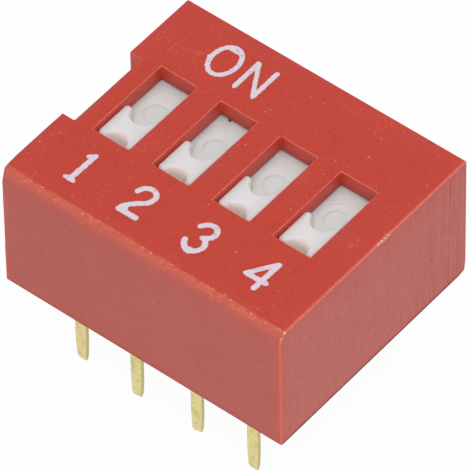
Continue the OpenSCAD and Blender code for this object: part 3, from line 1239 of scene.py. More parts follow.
@dataclass
class Cover:
    """The red shell: top with its windows, four walls and the notch in the left end."""

    top_wall: float = 0.64
    side_wall: float = 0.4
    end_wall: float = 0.75
    window_width: float = 1.54
    window_length: float = 3.56
    window_shift: float = 0.2
    notch_depth: float = 0.52
    notch_length: float = 3.48
    notch_shift: float = 0.08
    front_radius: float = 0.35
    back_foot_radius: float = 0.28
    foot_radius: float = 0.04
    front_upright_radius: float = 0.12
    back_upright_radius: float = 0.04
    top_radius: float = 0.04
    notch_radius: float = 0.1
    window_corner_radius: float = 0.03
    window_edge_radius: float = 0.03
    bevel_parts: int = 8
    line_gap: float = 0.45
    soften_degrees: float = 50.0
    flat_level: float = 0.995
    level_span: float = 0.12
    wear_depth: float = 0.01
    wear_coarse: float = 1.3
    wear_fine: float = 4.1
    wear_bias: float = 0.05
    worn_above: float = 0.3
    worn_until: float = 1.0
    lean_in: float = 0.03
    knock_reach: float = 0.62
    knock_depth: float = 0.14
    knock_power: float = 1.5
    low: Vector = field(default_factory=lambda: node_box("cover")[0])
    high: Vector = field(default_factory=lambda: node_box("cover")[1])

    def _lines(self, marks: Iterable[float]) -> list[float]:
        """Grid lines through marks, with the long gaps divided.

        Args:
            marks: where a line has to be.

        Returns:
            All lines in order.
        """
        fixed = sorted(set(round(mark, 5) for mark in marks))
        lines: list[float] = []
        for start, end in zip(fixed, fixed[1:]):
            parts = max(1, math.floor((end - start) / self.line_gap))
            lines.extend(start + (end - start) * k / parts for k in range(parts))
        return lines + [fixed[-1]]

    def _is_solid(self, x: float, y: float, z: float) -> bool:
        """Whether the shell has material at a point.

        Args:
            x: the point's x.
            y: its y.
            z: its z.

        Returns:
            True inside the shell.
        """
        low, high = self.low, self.high
        if not (low.x < x < high.x and low.y < y < high.y and low.z < z < high.z):
            return False
        if x < low.x + self.notch_depth and abs(y - self.notch_shift) < self.notch_length / 2:
            return False
        if z < high.z - self.top_wall:
            return not (
                low.x + self.end_wall < x < high.x - self.end_wall
                and low.y + self.side_wall < y < high.y - self.side_wall
            )
        in_window = any(abs(x - way_x(n)) < self.window_width / 2 for n in range(1, WAYS + 1))
        return not (in_window and abs(y - self.window_shift) < self.window_length / 2)

    def _radius(self, start: Vector, end: Vector) -> float:
        """The rounding of an edge of the shell.

        Args:
            start: the edge's first point.
            end: its last point.

        Returns:
            The radius, or 0 for an edge that stays sharp.
        """
        low, high = self.low, self.high
        mid = (start + end) / 2
        run = end - start
        on_front, on_back = mid.y < low.y + NEAR, mid.y > high.y - NEAR
        on_left, on_right = mid.x < low.x + NEAR, mid.x > high.x - NEAR
        on_top, on_foot = mid.z > high.z - NEAR, mid.z < low.z + NEAR
        in_notch = low.x - NEAR < mid.x < low.x + self.notch_depth + NEAR and (
            abs(mid.y - self.notch_shift) < self.notch_length / 2 + NEAR
        )
        if abs(run.z) > NEAR:
            if (on_front or on_back) and (on_left or on_right):
                return self.front_upright_radius if on_front else self.back_upright_radius
            if in_notch:
                return self.top_radius if on_left else self.notch_radius
            return self.window_corner_radius if mid.z > high.z - self.top_wall else 0.0
        if in_notch and not on_left:
            return self.window_edge_radius if on_top or on_foot else 0.0
        if abs(run.x) > NEAR and on_front:
            return self.front_radius if on_top else self.foot_radius
        if abs(run.x) > NEAR and on_back:
            return self.top_radius if on_top else self.back_foot_radius
        if on_left or on_right:
            return self.top_radius if on_top else self.foot_radius
        return self.window_edge_radius if on_top else 0.0

    def _blank(self) -> bpy.types.Object:
        """Builds the shell with sharp edges, from the solid cells of a grid.

        Returns:
            The shell.
        """
        low, high = self.low, self.high
        half_w, half_l = self.window_width / 2, self.window_length / 2
        xs = [low.x, low.x + self.notch_depth, low.x + self.end_wall, high.x - self.end_wall, high.x]
        xs += [way_x(n) + side * half_w for n in range(1, WAYS + 1) for side in (-1, 1)]
        ys = [low.y, low.y + self.side_wall, high.y - self.side_wall, high.y]
        ys += [self.window_shift - half_l, self.window_shift + half_l]
        ys += [self.notch_shift - self.notch_length / 2, self.notch_shift + self.notch_length / 2]
        zs = [low.z, high.z - self.top_wall, high.z]
        grid = [self._lines(xs), self._lines(ys), self._lines(zs)]
        cells = [len(lines) - 1 for lines in grid]

        def middle(axis: int, k: int) -> float:
            """The middle of a cell along an axis."""
            return (grid[axis][k] + grid[axis][k + 1]) / 2

        solid = {
            (i, j, k)
            for i in range(cells[0])
            for j in range(cells[1])
            for k in range(cells[2])
            if self._is_solid(middle(0, i), middle(1, j), middle(2, k))
        }
        numbers: dict[tuple[int, int, int], int] = {}
        shape = Shape()
        for cell in sorted(solid):
            for axis in range(3):
                for side in (0, 1):
                    beyond = list(cell)
                    beyond[axis] += 2 * side - 1
                    if tuple(beyond) in solid:
                        continue
                    first, second = (axis + 1) % 3, (axis + 2) % 3
                    corners = []
                    for a, b in ((0, 0), (1, 0), (1, 1), (0, 1)):
                        key = list(cell)
                        key[axis] += side
                        key[first] += a
                        key[second] += b
                        spot = tuple(key)
                        if spot not in numbers:
                            numbers[spot] = len(shape.points)
                            shape.points.append(Vector(grid[n][spot[n]] for n in range(3)))
                        corners.append(numbers[spot])
                    shape.faces.append(tuple(corners))
        return shape.make("cover_shell")

    def _weigh(self, shell: bpy.types.Object) -> None:
        """Writes each folded edge's rounding as a bevel weight.

        Args:
            shell: the shell with sharp edges.
        """
        work = bmesh.new()
        work.from_mesh(shell.data)
        weights = work.edges.layers.float.new("bevel_weight_edge")
        for edge in work.edges:
            if len(edge.link_faces) == 2 and edge.calc_face_angle() > 0.1:
                ends = [vert.co / MM for vert in edge.verts]
                edge[weights] = self._radius(*ends) / self.front_radius
        work.to_mesh(shell.data)
        work.free()

    def _knocked(self, spot: Vector, corner: Vector, reach: float, depth: float) -> Vector:
        """How far a point moves where a corner is rounded off; flat faces stay flat.

        Args:
            spot: the point.
            corner: the shell's corner.
            reach: how far from the corner points still move.
            depth: how far they move at the corner.

        Returns:
            The move.
        """
        amount = depth * max(0.0, 1.0 - (spot - corner).length / reach) ** self.knock_power
        inward = (self.low + self.high) / 2 - corner
        return Vector(
            0.0 if abs(spot[n] - corner[n]) < NEAR else math.copysign(amount, inward[n]) for n in range(3)
        )

    def _wear(self, shell: bpy.types.Object) -> None:
        """Makes the rounded outer edges slightly uneven and rounds off two corners.

        The corners are the notched end's front top one and, half as much, the plain end's back foot.

        Args:
            shell: the rounded shell.
        """
        front_corner = Vector((self.low.x, self.low.y, self.high.z))
        foot_corner = Vector((self.high.x, self.high.y, self.low.z))
        for vert in shell.data.vertices:
            direction = vert.normal
            spot = vert.co / MM
            move = self._knocked(spot, front_corner, self.knock_reach, self.knock_depth)
            move += self._knocked(spot, foot_corner, self.knock_reach / 2, self.knock_depth / 2)
            level = max(abs(direction.x), abs(direction.y), abs(direction.z))
            share = min(1.0, max(0.0, (self.flat_level - level) / self.level_span))
            height = spot.z / self.high.z
            if share > 0.0 and height >= self.worn_above and spot.y <= self.worn_until:
                swell = noise.noise(spot * self.wear_coarse) + 0.6 * noise.noise(spot * self.wear_fine)
                move += direction * (share * self.wear_depth * min(0.0, swell - self.wear_bias))
                if direction.x < 0.0 and direction.y < 0.0:
                    move -= direction * (share * self.lean_in * height)
            vert.co = Vector(min(max(v, a), b) for v, a, b in zip(spot + move, self.low, self.high)) * MM

    def build(self) -> Piece:
        """Builds the shell.

        Returns:
            The finished piece.
        """
        shell = self._blank()
        self._weigh(shell)
        bevel = shell.modifiers.new("rounded_edges", "BEVEL")
        bevel.limit_method = "WEIGHT"
        bevel.width = self.front_radius * MM
        bevel.segments = self.bevel_parts
        bevel.use_clamp_overlap = False
        apply_modifiers(shell)
        self._wear(shell)
        soften(shell, self.soften_degrees)
        piece = Piece(shell, HOUSING, "cover_red", ("cover",))
        piece.settle(RedMoulding(self).material())
        return piece


# ---- Print ----


class Line(Enum):
    """How a stroke runs through its points."""

    STRAIGHT = "straight"
    CURVED = "curved"
    OVAL = "oval"


@dataclass(frozen=True)
class Stroke:
    """One stroke of the print: a line of some width through points, round at its ends.

    An oval's two points are its middle and its half width and half height.
    """

    points: tuple[Point2, ...]
    width: float = 0.19
    line: Line = Line.STRAIGHT
    oval_parts: int = 48
    curve_parts: int = 8

    def path(self) -> list[Point2]:
        """The stroke's centre line as short straight parts.

        Returns:
            The points of the line, in order.
        """
        if self.line is Line.STRAIGHT:
            return list(self.points)
        if self.line is Line.OVAL:
            (cx, cy), (half_w, half_h) = self.points
            turns = arc((0.0, 0.0), 1.0, 0, 360, self.oval_parts)
            return [(cx + half_w * u, cy + half_h * v) for u, v in turns]
        padded = [self.points[0], *self.points, self.points[-1]]
        made: list[Point2] = []
        for a, b, c, d in zip(padded, padded[1:], padded[2:], padded[3:]):
            for k in range(self.curve_parts):
                made.append(self._between(a, b, c, d, k / self.curve_parts))
        return made + [self.points[-1]]

    @staticmethod
    def _between(a: Point2, b: Point2, c: Point2, d: Point2, t: float) -> Point2:
        """A point of a smooth curve between b and c.

        Args:
            a: the point before b.
            b: where the part starts.
            c: where it ends.
            d: the point after c.
            t: the share of the way from b to c.

        Returns:
            The point.
        """
        x, y = (
            0.5 * (2 * q + (r - p) * t + (2 * p - 5 * q + 4 * r - s) * t**2 + (3 * q - p - 3 * r + s) * t**3)
            for p, q, r, s in zip(a, b, c, d)
        )
        return (x, y)


GLYPHS: dict[str, tuple[Stroke, ...]] = {
    "O": (
        Stroke(((0.0, 0.0), (0.49, 0.69)), 0.19, Line.OVAL),
        Stroke(((-0.21, 0.55), (0.19, 0.555)), 0.14),
        Stroke(((-0.585, -0.14), (-0.50, -0.28)), 0.10),
    ),
    "N": (
        Stroke(((-0.37, 0.63), (-0.365, -0.64))),
        Stroke(((-0.365, -0.64), (-0.375, -0.72)), 0.1),
        Stroke(((0.41, 0.63), (0.415, -0.64))),
        Stroke(((0.415, -0.64), (0.43, -0.74)), 0.09),
        Stroke(((-0.34, 0.61), (0.395, -0.66)), 0.17),
        Stroke(((-0.31, 0.50), (-0.22, 0.32)), 0.15),
    ),
    "1": (
        Stroke(((0.105, 0.62), (0.062, -0.66)), 0.215),
        Stroke(((0.10, 0.64), (-0.09, 0.485)), 0.14),
        Stroke(((0.03, 0.50), (-0.05, 0.44)), 0.1),
        Stroke(((-0.13, -0.665), (0.22, -0.67)), 0.155),
        Stroke(((-0.075, -0.62), (0.06, -0.50), (0.175, -0.62)), 0.13),
    ),
    "2": (
        Stroke(
            ((-0.375, 0.30), (-0.28, 0.52), (-0.01, 0.64), (0.22, 0.54), (0.295, 0.34))
            + ((0.21, 0.08), (-0.01, -0.11), (-0.22, -0.32), (-0.35, -0.50), (-0.38, -0.64)),
            0.215,
            Line.CURVED,
        ),
        Stroke(((-0.385, -0.665), (0.31, -0.66)), 0.23),
        Stroke(((-0.25, -0.45), (-0.20, -0.56)), 0.16),
    ),
    "3": (
        Stroke(
            ((-0.33, 0.38), (-0.17, 0.57), (0.05, 0.64), (0.24, 0.55))
            + ((0.31, 0.37), (0.26, 0.20), (0.16, 0.08), (0.05, 0.02)),
            0.215,
            Line.CURVED,
        ),
        Stroke(
            ((0.12, 0.03), (0.24, -0.08), (0.32, -0.24), (0.29, -0.44), (0.15, -0.63))
            + ((-0.02, -0.71), (-0.21, -0.61), (-0.33, -0.48), (-0.385, -0.36)),
            0.215,
            Line.CURVED,
        ),
        Stroke(((0.28, 0.19), (0.35, 0.16)), 0.09),
        Stroke(((-0.04, -0.64), (0.10, -0.62)), 0.2),
    ),
    "4": (
        Stroke(((0.20, 0.64), (0.17, -0.64)), 0.215),
        Stroke(((0.14, 0.60), (-0.415, -0.24)), 0.195),
        Stroke(((-0.435, -0.275), (0.34, -0.255)), 0.215),
        Stroke(((0.34, -0.255), (0.43, -0.265)), 0.1),
    ),
}


@dataclass
class Sheet:
    """A grid laid over one sign, with how far each grid point lies outside the strokes."""

    middle: Point2
    left: float
    low: float
    cell: float
    outside: np.ndarray

    def spot(self, i: float, j: float) -> Point2:
        """The x and y of a point of the grid, or between its points."""
        return (self.middle[0] + self.left + i * self.cell, self.middle[1] + self.low + j * self.cell)

    def nearest(self, x: float, y: float) -> tuple[int, int]:
        """The grid point nearest to a place.

        Args:
            x: the place's x.
            y: its y.

        Returns:
            The grid point's column and row.
        """
        column = round((x - self.middle[0] - self.left) / self.cell)
        return column, round((y - self.middle[1] - self.low) / self.cell)


@dataclass
class Print:
    """White printing on the cover's top, each sign as a thin raised film."""

    cell: float = 0.02
    film: float = 0.008
    sunk: float = 0.004
    ragged: float = 0.019
    coarse_per_mm: float = 9.0
    fine_per_mm: float = 21.0
    margin: float = 0.2
    numeral_y: float = -3.11
    letters: tuple[tuple[str, Point2], ...] = (("O", (0.745, 3.457)), ("N", (2.07, 3.44)))
    top: float = field(default_factory=lambda: node_box("cover")[1].z)

    def _distances(self, strokes: Sequence[Stroke], across: np.ndarray, up: np.ndarray) -> np.ndarray:
        """How far the points of a grid lie outside the strokes.

        Args:
            strokes: the sign's strokes.
            across: the points' x, from the sign's middle.
            up: their y.

        Returns:
            The distances, negative inside.
        """
        best = np.full(across.shape, np.inf)
        for stroke in strokes:
            path = stroke.path()
            for (ax, ay), (bx, by) in zip(path, path[1:]):
                run_x, run_y = bx - ax, by - ay
                length = max(run_x * run_x + run_y * run_y, 1e-12)
                t = np.clip(((across - ax) * run_x + (up - ay) * run_y) / length, 0.0, 1.0)
                gap = np.hypot(across - ax - t * run_x, up - ay - t * run_y) - stroke.width / 2
                best = np.minimum(best, gap)
        return best

    def _sheet(self, strokes: Sequence[Stroke], middle: Point2) -> Sheet:
        """Lays the grid over a sign and roughens the sign's outline.

        Args:
            strokes: the sign's strokes.
            middle: where its middle is.

        Returns:
            The grid.
        """
        flat = np.array([point for stroke in strokes for point in stroke.path()])
        left, low = flat.min(axis=0) - self.margin
        right, high = flat.max(axis=0) + self.margin
        columns, rows = math.ceil((right - left) / self.cell), math.ceil((high - low) / self.cell)
        i, j = np.meshgrid(np.arange(columns + 1), np.arange(rows + 1), indexing="ij")
        outside = self._distances(strokes, left + i * self.cell, low + j * self.cell)
        sheet = Sheet(middle, left, low, self.cell, outside)
        for column, row in np.ndindex(outside.shape):
            spot = Vector((*sheet.spot(column, row), 0.0))
            uneven = noise.noise(spot * self.coarse_per_mm) + 0.5 * noise.noise(spot * self.fine_per_mm)
            outside[column, row] += self.ragged * uneven
        return sheet

    def _face(self, sheet: Sheet) -> Shape:
        """The sign's upper face: the grid's cells, cut along the strokes' outline.

        Args:
            sheet: the grid.

        Returns:
            The flat shape.
        """
        shape = Shape()
        numbers: dict[tuple[int, ...], int] = {}

        def number(key: tuple[int, ...], i: float, j: float) -> int:
            """The number of a point of the outline or the inside, made at its first use.

            Args:
                key: the grid point, or the two grid points that it lies between.
                i: its column.
                j: its row.

            Returns:
                Its number in the shape.
            """
            if key not in numbers:
                numbers[key] = len(shape.points)
                shape.points.append(Vector((*sheet.spot(i, j), self.top + self.film)))
            return numbers[key]

        columns, rows = (count - 1 for count in sheet.outside.shape)
        for i in range(columns):
            for j in range(rows):
                corners = [(i, j), (i + 1, j), (i + 1, j + 1), (i, j + 1)]
                face: list[int] = []
                for here, after in zip(corners, corners[1:] + corners[:1]):
                    a, b = sheet.outside[here], sheet.outside[after]
                    if a < 0:
                        face.append(number(here, *here))
                    if (a < 0) != (b < 0):
                        t = a / (a - b)
                        key = (*min(here, after), *max(here, after))
                        cut = (here[0] + t * (after[0] - here[0]), here[1] + t * (after[1] - here[1]))
                        face.append(number(key, *cut))
                if len(face) > 2:
                    shape.faces.append(tuple(face))
        return shape

    def _thicken(self, sign: bpy.types.Object, sheet: Sheet) -> None:
        """Gives a sign its thickness, and keeps at each point how far it lies inside the outline.

        Args:
            sign: the flat sign.
            sheet: its grid.
        """
        work = bmesh.new()
        work.from_mesh(sign.data)
        lowered = bmesh.ops.extrude_face_region(work, geom=work.faces[:])["geom"]
        drop = Vector((0.0, 0.0, -(self.film + self.sunk) * MM))
        bmesh.ops.translate(work, vec=drop, verts=[g for g in lowered if isinstance(g, bmesh.types.BMVert)])
        bmesh.ops.recalc_face_normals(work, faces=work.faces)
        inset = work.verts.layers.float.new(INSET)
        for vert in work.verts:
            grid_point = sheet.nearest(vert.co.x / MM, vert.co.y / MM)
            vert[inset] = max(0.0, -float(sheet.outside[grid_point]))
        work.to_mesh(sign.data)
        work.free()

    def _sign(self, name: str, strokes: Sequence[Stroke], middle: Point2) -> Piece:
        """Builds one sign.

        Args:
            name: the object's name.
            strokes: the sign's strokes.
            middle: where its middle is.

        Returns:
            The undressed piece.
        """
        sheet = self._sheet(strokes, middle)
        sign = self._face(sheet).make(name)
        self._thicken(sign, sheet)
        sign.data.shade_flat()
        return Piece(sign, HOUSING)

    def build(self, finish: bpy.types.Material) -> list[Piece]:
        """Builds the word and the numerals.

        Args:
            finish: the ink.

        Returns:
            The finished pieces.
        """
        first = way_x(1)
        spots = [(name, (first + x, y)) for name, (x, y) in self.letters]
        spots += [(str(n), (way_x(n), self.numeral_y)) for n in range(1, WAYS + 1)]
        pieces = [self._sign(f"print_{name}", GLYPHS[name], spot) for name, spot in spots]
        for piece in pieces:
            piece.settle(finish)
        return pieces


# ---- Sliders ----


@dataclass
class Slider:
    """A white slider: plate with ejector marks, hourglass knob, carrier and staked peg."""

    number: int
    tool: ToolMarks
    knob_width: float = 1.44
    knob_length: float = 1.52
    corner_radius: float = 0.12
    edge_radius: float = 0.08
    back_scoop: float = 0.48
    front_scoop: float = 0.44
    scoop_lean: float = 18.0
    mouth_radius: float = 0.1
    foot_radius: float = 0.05
    plate_top: float = 4.71
    plate_thickness: float = 0.5
    plate_corner: float = 0.15
    plate_edge: float = 0.03
    mark_radius: float = 0.46
    mark_depth: float = 0.035
    mark_reach: float = 1.32
    mark_shift: float = 0.04
    mark_points: int = 48
    # How far each ring round a mark lies outside its radius, and its share of the mark's depth.
    mark_profile: tuple[Point2, ...] = ((-0.36, 0.85), (-0.11, 1.0), (-0.05, 0.9), (0.0, 0.35), (0.03, 0.0))
    knob_top: float = 5.18
    carrier_width: float = 1.2
    carrier_length: float = 3.0
    carrier_bottom: float = 3.3
    carrier_edge: float = 0.03
    carrier_corner: float = 0.035
    peg_radius: float = 0.17
    peg_head: float = 0.28
    peg_length: float = 0.22
    peg_points: int = 32
    head_face: float = 0.7
    head_edge: float = 0.03
    head_height: float = 0.08
    head_step: float = 0.001
    least_ear: float = 0.002
    turn_parts: int = 6
    soften_degrees: float = 40.0

    def __post_init__(self) -> None:
        """Takes the place and the plate's size from the CAD node."""
        low, high = node_box(f"slider_{self.number}")
        self.middle = Vector(((low.x + high.x) / 2, (low.y + high.y) / 2, 0.0))
        self.plate_width = high.x - low.x
        self.plate_length = high.y - low.y

    def _knob_half(self, inset: float, scoop: float, outward: float) -> list[Point2]:
        """The back half of the knob's outline, with its scoop and the rounded ears beside it.

        Args:
            inset: how far the outline stands back from the knob's sides.
            scoop: the scoop's radius.
            outward: how far the scoop's centre lies outside the knob's end.

        Returns:
            The outline, anticlockwise from the right side to the left one.
        """
        half_w, half_l = self.knob_width / 2, self.knob_length / 2
        corner, mouth = self.corner_radius, self.mouth_radius
        mouth_x = math.sqrt((scoop + mouth) ** 2 - (outward + mouth) ** 2)
        tilt = math.degrees(math.atan2(outward + mouth, mouth_x))
        ear = max(mouth - inset, self.least_ear)
        right = [
            *arc((half_w - corner, half_l - corner), corner - inset, 0, 90, self.turn_parts),
            *arc((mouth_x, half_l - mouth), ear, 90, 180 - tilt, 5),
        ]
        dip = arc((0.0, half_l + outward), scoop + mouth - ear, -tilt, tilt - 180, 24)
        return right + dip[1:-1] + [(-x, y) for x, y in reversed(right)]

    def _knob(self, shape: Shape) -> list[int]:
        """Adds the knob, from the rounded foot on the plate to the rounded edge of its top.

        Args:
            shape: the slider's mesh.

        Returns:
            The open ring round its foot.
        """
        turns = [math.pi / 2 * k / self.turn_parts for k in range(self.turn_parts + 1)]
        levels = []
        for turn in turns:
            rise = self.foot_radius * (1 - math.cos(turn))
            levels.append((self.plate_top + rise, -self.foot_radius * (1 - math.sin(turn))))
        for turn in turns:
            fall = self.edge_radius * (1 - math.sin(turn))
            levels.append((self.knob_top - fall, self.edge_radius * (1 - math.cos(turn))))
        rings = []
        for z, inset in levels:
            outward = (self.knob_top - z) * math.tan(math.radians(self.scoop_lean))
            back = self._knob_half(inset, self.back_scoop, outward)
            front = [(-x, -y) for x, y in self._knob_half(inset, self.front_scoop, outward)]
            rings.append([(*point, z) for point in back + front])
        return shape.loft(rings, open_start=True)[0]

    def _mark(self, shape: Shape, side: int) -> list[int]:
        """Adds one of the plate's round marks.

        Args:
            shape: the slider's mesh.
            side: 1 behind the knob, -1 in front of it.

        Returns:
            The open ring round the mark.
        """
        centre = (self.mark_shift, side * self.mark_reach)
        rings = []
        for grow, drop in self.mark_profile:
            z = self.plate_top - self.mark_depth * drop
            rings.append([(*p, z) for p in circle(centre, self.mark_radius + grow, self.mark_points)])
        return shape.loft(rings, open_end=True)[-1]

    def _carrier(self, shape: Shape) -> list[int]:
        """Adds the block under the plate, with the peg and its spread head below it.

        Args:
            shape: the slider's mesh.

        Returns:
            The open ring where it meets the plate.
        """
        bottom, edge = self.carrier_bottom, self.carrier_edge
        rings = []
        for z, inset in ((bottom, edge), (bottom + edge, 0.0), (self.plate_top - self.plate_thickness, 0.0)):
            width, length = self.carrier_width - 2 * inset, self.carrier_length - 2 * inset
            rings.append([(*p, z) for p in rounded_outline(width, length, self.carrier_corner - inset, 3)])
        block = shape.loft(rings, open_start=True, open_end=True)
        head_z = bottom - self.peg_length
        levels = [
            (head_z, self.head_face * self.peg_head),
            (head_z + self.head_edge, self.peg_head),
            (head_z + self.head_height, self.peg_head),
            (head_z + self.head_height + self.head_step, self.peg_radius),
            (bottom, self.peg_radius),
        ]
        stack = [[(*p, z) for p in circle((0.0, 0.0), radius, self.peg_points)] for z, radius in levels]
        peg = shape.loft(stack, open_end=True)
        shape.holed_cap([block[0], peg[-1]])
        return block[-1]

    def _plate(self, shape: Shape, above: Sequence[Sequence[int]], below: Sequence[int]) -> None:
        """Adds the plate between what stands on it and what hangs below it.

        Args:
            shape: the slider's mesh.
            above: the open rings in its upper face.
            below: the open ring in its lower face.
        """
        bottom, edge = self.plate_top - self.plate_thickness, self.plate_edge
        levels = [
            (bottom, edge),
            (bottom + edge, 0.0),
            (self.plate_top - edge, 0.0),
            (self.plate_top - 0.3 * edge, 0.3 * edge),
            (self.plate_top, edge),
        ]
        rings = []
        for z, inset in levels:
            width, length = self.plate_width - 2 * inset, self.plate_length - 2 * inset
            rings.append([(*p, z) for p in rounded_outline(width, length, self.plate_corner - inset)])
        skin = shape.loft(rings, open_start=True, open_end=True)
        shape.holed_cap([skin[0], below])
        shape.holed_cap([skin[-1], *above])

    def build(self) -> Piece:
        """Builds the slider.

        Returns:
            The finished piece.
        """
        shape = Shape()
        above = [self._knob(shape), self._mark(shape, 1), self._mark(shape, -1)]
        self._plate(shape, above, self._carrier(shape))
        for point in shape.points:
            point += self.middle
        slider = shape.make(f"slider_dressed_{self.number}")
        soften(slider, self.soften_degrees)
        mark = (self.middle.x + self.mark_shift, self.middle.y + self.mark_reach, self.plate_top)
        finish = WhiteNylon(f"white_nylon_{self.number}", mark, self.mark_radius, self.tool, self.knob_top)
        piece = Piece(slider, f"slider_body_{self.number}", "slider_white", (f"slider_{self.number}",))
        piece.settle(finish.material())
        return piece


# ---- Terminals ----


class Row(Enum):
    """The two rows of pins, by the side of the body that they stand on."""

    FRONT = -1
    REAR = 1


@dataclass
class Terminal:
    """A flat pin with its curved taper, shoulder, bend and contact face."""

    number: int
    row: Row
    bend: Point2 = (0.0, 0.0)
    slant: float = 0.0
    pin_width: float = 0.48
    tip_width: float = 0.36
    thickness: float = 0.15
    taper: float = 1.25
    tip_chamfer: float = 0.04
    corner: float = 0.02
    shoulder_z: float = 1.5
    bend_radius: float = 0.225
    contact_width: float = 1.0
    tip_inset: float = 0.02
    taper_parts: int = 10
    bent_over: float = 1.4
    straight_levels: tuple[float, ...] = (-1.4, -0.7, 0.0, 0.7, 1.2)
    bend_parts: int = 8
    section_parts: int = 3
    thin_corner: float = 0.45
    soften_degrees: float = 40.0

    def __post_init__(self) -> None:
        """Takes the place and the lengths from the CAD node."""
        low, high = node_box(f"terminal_{self.row.name.lower()}_{self.number}")
        self.tip_z = low.z
        self.contact_z = high.z - self.thickness / 2
        self.pad_x = (low.x + high.x) / 2
        inner = high.y if self.row is Row.FRONT else low.y
        self.pad_y = inner * self.row.value
        self.pin_x = pin_x(self.number)

    def _section(self, centre: Vector, out: Vector, width: float, thickness: float) -> list[Vector]:
        """A rounded cross-section of the strip.

        Args:
            centre: its middle.
            out: the direction of its outer face.
            width: its size along x.
            thickness: its size along out.

        Returns:
            The section's points.
        """
        side = Vector((1.0, 0.0, 0.0))
        corner = min(self.corner, thickness * self.thin_corner)
        outline = rounded_outline(width, thickness, corner, self.section_parts)
        return [centre + side * x + out * y for x, y in outline]

    def _stations(self) -> list[list[Vector]]:
        """The cross-sections from the tip to the contact's end.

        Returns:
            The sections, each with as many points.
        """
        sections: list[list[Vector]] = []
        outward = Vector((0.0, 1.0, 0.0))
        upward = Vector((0.0, 0.0, 1.0))
        narrowing = self.pin_width - self.tip_width
        top_of_taper = self.tip_z + self.taper

        def pin(z: float, width: float, thickness: float) -> None:
            """Adds a section of the pin.

            Args:
                z: its height.
                width: its width.
                thickness: its thickness.
            """
            share = min(1.0, max(0.0, -z / self.bent_over))
            centre = Vector((self.pin_x + self.bend[0] * share, ROW_Y + self.bend[1] * share, z))
            section = self._section(centre, outward, width, thickness)
            if z < top_of_taper:
                lift = self.slant * (top_of_taper - z) / self.taper
                section = [p + upward * (lift * (p.x - centre.x + width / 2)) for p in section]
            sections.append(section)

        pin(self.tip_z, self.tip_width - self.tip_inset, self.thickness - 2 * self.tip_chamfer)
        for k in range(1, self.taper_parts + 1):
            z = self.tip_z + self.tip_chamfer + (self.taper - self.tip_chamfer) * k / self.taper_parts
            left = (top_of_taper - z) / self.taper
            pin(z, self.pin_width - narrowing * left**2, self.thickness)
        for z in self.straight_levels:
            pin(z, self.pin_width, self.thickness)
        bend_z = self.contact_z - self.bend_radius
        for z in (self.shoulder_z, bend_z):
            centre = Vector((self.pad_x, ROW_Y, z))
            sections.append(self._section(centre, outward, self.contact_width, self.thickness))
        bend_y = ROW_Y - self.bend_radius
        for y, z in arc((bend_y, bend_z), self.bend_radius, 0, 90, self.bend_parts)[1:]:
            centre = Vector((self.pad_x, y, z))
            out = Vector((0.0, y - bend_y, z - bend_z)).normalized()
            sections.append(self._section(centre, out, self.contact_width, self.thickness))
        end = Vector((self.pad_x, self.pad_y, self.contact_z))
        sections.append(self._section(end, upward, self.contact_width, self.thickness))
        return sections

    def build(self, finish: bpy.types.Material) -> Piece:
        """Builds the terminal.

        Args:
            finish: the plating.

        Returns:
            The finished piece.
        """
        shape = Shape()
        rings = self._stations()
        shape.loft([[(p.x, p.y * self.row.value, p.z) for p in ring] for ring in rings])
        row = self.row.name.lower()
        terminal = shape.make(f"pin_{row}_{self.number}")
        soften(terminal, self.soften_degrees)
        piece = Piece(terminal, HOUSING, "terminal_gold", (f"terminal_{row}_{self.number}",))
        piece.settle(finish)
        return piece


# ---- Seal ----


@dataclass
class Seal:
    """The resin that closes the underside, with the rise it has along walls and pins."""

    rise: float = 0.13
    reach: float = 0.22
    step: float = 0.12
    ripple: float = 0.012
    ripple_scale: float = 0.8
    pin_half: Point2 = (0.25, 0.1)
    soften_degrees: float = 60.0
    low: Vector = field(default_factory=lambda: node_box("potting_seal")[0])
    high: Vector = field(default_factory=lambda: node_box("potting_seal")[1])

    def _creep(self, x: float, y: float) -> float:
        """How far the resin's lower face stands out at a point.

        Args:
            x: the point's x.
            y: its y.

        Returns:
            The height of the rise.
        """
        wall = min(x - self.low.x, self.high.x - x, y - self.low.y, self.high.y - y)
        half_w, half_t = self.pin_half
        from_row = max(0.0, abs(abs(y) - ROW_Y) - half_t)
        pins = min(
            math.hypot(max(0.0, abs(x - pin_x(n)) - half_w), from_row) for n in range(1, WAYS + 1)
        )
        ripple = self.ripple * noise.noise(Vector((x, y, 0.0)) * self.ripple_scale)
        return self.rise * math.exp(-min(wall, pins) / self.reach) + ripple

    def build(self, finish: bpy.types.Material) -> Piece:
        """Builds the seal.

        Args:
            finish: the resin.

        Returns:
            The finished piece.
        """
        columns = math.ceil((self.high.x - self.low.x) / self.step)
        rows = math.ceil((self.high.y - self.low.y) / self.step)
        shape = Shape()
        layers: list[list[list[int]]] = []
        for is_low in (True, False):
            layer = []
            for i in range(columns + 1):
                x = self.low.x + (self.high.x - self.low.x) * i / columns
                line = []
                for j in range(rows + 1):
                    y = self.low.y + (self.high.y - self.low.y) * j / rows
                    z = self.low.z - self._creep(x, y) if is_low else self.high.z
                    line.append((x, y, z))
                layer.append(shape.ring(line))
            layers.append(layer)
        for layer in layers:
            for i in range(columns):
                for j in range(rows):
                    shape.faces.append((layer[i][j], layer[i + 1][j], layer[i + 1][j + 1], layer[i][j + 1]))
        rims = []
        for layer in layers:
            rim = [layer[i][0] for i in range(columns)] + [layer[columns][j] for j in range(rows)]
            rim += [layer[i][rows] for i in range(columns, 0, -1)] + [layer[0][j] for j in range(rows, 0, -1)]
            rims.append(rim)
        shape.bridge(*rims)
        seal = shape.make("resin_seal")
        soften(seal, self.soften_degrees)
        piece = Piece(seal, HOUSING, "resin_amber", ("potting_seal",))
        piece.settle(finish)
        return piece


# ---- Studio ----


